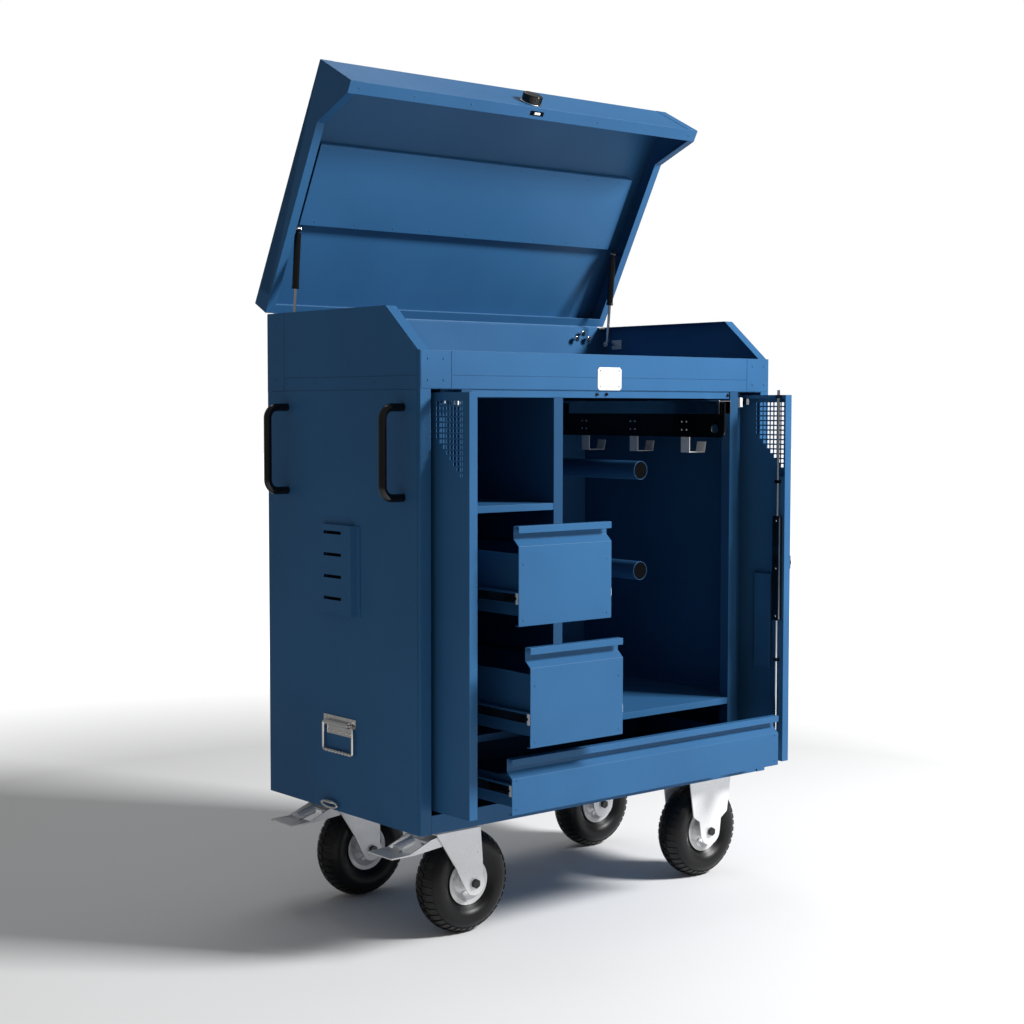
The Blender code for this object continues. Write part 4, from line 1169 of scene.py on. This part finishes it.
for place in ("front", "rear"):
    for side in ("left", "right"):
        name = f"{place}_{side}"
        body = f"wheel_{name}"
        hub = pivot(f"wheel_{name}_roll")
        tyre = lathe(f"tyre_{name}_finished", tyre_section(), hub, rubber, body)
        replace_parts(tyre, f"tyre_{name}")
        rim = lathe(f"rim_{name}_finished", rim_section(), hub, zinc, body)
        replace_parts(rim, f"rim_{name}")
        for label, offset, slant in (("outer", 12, 38), ("inner", -12, -38), ("crown", -9, 18)):
            start = tau / LUGS / 2 if label == "crown" else 0.0
            where = Matrix.Translation(hub) @ Matrix.Rotation(start, 4, "Y")
            copies = {"turn": (0, tau / LUGS, 0), "place": where, "smooth": 30}
            spread(f"tread_{label}_{name}", lug(offset, slant), LUGS, rubber, body, **copies)
        for out in (-1, 1):
            boss_ends = (0.0330, out * 0.008, 0), (0.0330, out * 0.0125, 0)
            boss = rod_mesh("boss", *boss_ends, 0.0075, 20, 0.0050)
            copies = {"turn": (0, tau / 4, 0), "place": Matrix.Translation(hub)}
            label = "in" if out > 0 else "out"
            spread(f"rim_boss_{label}_{name}", boss, 4, zinc, body, **copies)
        valve = hub + Vector((0.036, -0.012, 0.024))
        valve_tip = valve + Vector((0.004, -0.016, 0.003))
        rod(f"valve_{name}", valve, valve_tip, 0.0030, rubber, body, 0.0005, 16)


# --- Floor, light and camera ------------------------------
# A pale seamless floor under a soft key from the right and a weak top light. Floor and surround fade
# to white for the camera, and light the chest only dimly.
floor = Finish("studio_floor", "white_plate", 0.75, Specular_IOR_Level=0.2)
floor.colour(floor.noise(0.7, 2.0), (0.80, 0.80, 0.803), (0.78, 0.78, 0.783))
floor.fade(2.3, 4.8)
floor_shape = bmesh.new()
bmesh.ops.create_grid(floor_shape, x_segments=1, y_segments=1, size=40.0)
floor_mesh = to_mesh("floor", floor_shape)
floor_mesh.materials.append(floor.material)
ground = bpy.data.objects.new("floor", floor_mesh)
bpy.context.scene.collection.objects.link(ground)

world = bpy.data.worlds.new("studio")
world.use_nodes = True
surround = world.node_tree
sky = surround.nodes["Background"]
sky.inputs["Color"].default_value = (1.0, 1.0, 1.0, 1.0)
rays = surround.nodes.new("ShaderNodeLightPath")
strength = surround.nodes.new("ShaderNodeMapRange")
strength.inputs["To Min"].default_value = 0.19
strength.inputs["To Max"].default_value = 1.0
surround.links.new(rays.outputs["Is Camera Ray"], strength.inputs["Value"])
surround.links.new(strength.outputs["Result"], sky.inputs["Strength"])
bpy.context.scene.world = world
bpy.context.scene.view_settings.view_transform = "Standard"


def lamp(name, place, target, size, power):
    light = bpy.data.lights.new(name, "AREA")
    light.shape = "RECTANGLE"
    light.size, light.size_y = size
    light.energy = power
    made = bpy.data.objects.new(name, light)
    made.location = place
    made.rotation_euler = (Vector(target) - Vector(place)).to_track_quat("-Z", "Y").to_euler()
    bpy.context.scene.collection.objects.link(made)
    return made


lamp("key", (3.3, -4.2, 4.4), (0.0, 0.0, 0.7), (1.4, 1.4), 640)
lamp("top", (0.5, 1.5, 5.5), (0.0, 0.0, 0.8), (3.0, 3.0), 50)

camera_data = bpy.data.cameras.new("camera")
camera_data.lens = 61.57
camera_data.sensor_width = 36.0
camera = bpy.data.objects.new("camera", camera_data)
camera.location = at(-2.4523, -3.2570, 1.0075)
camera.rotation_euler = (radians(86.62), radians(-0.07), radians(-39.97))
bpy.context.scene.collection.objects.link(camera)
bpy.context.scene.camera = camera
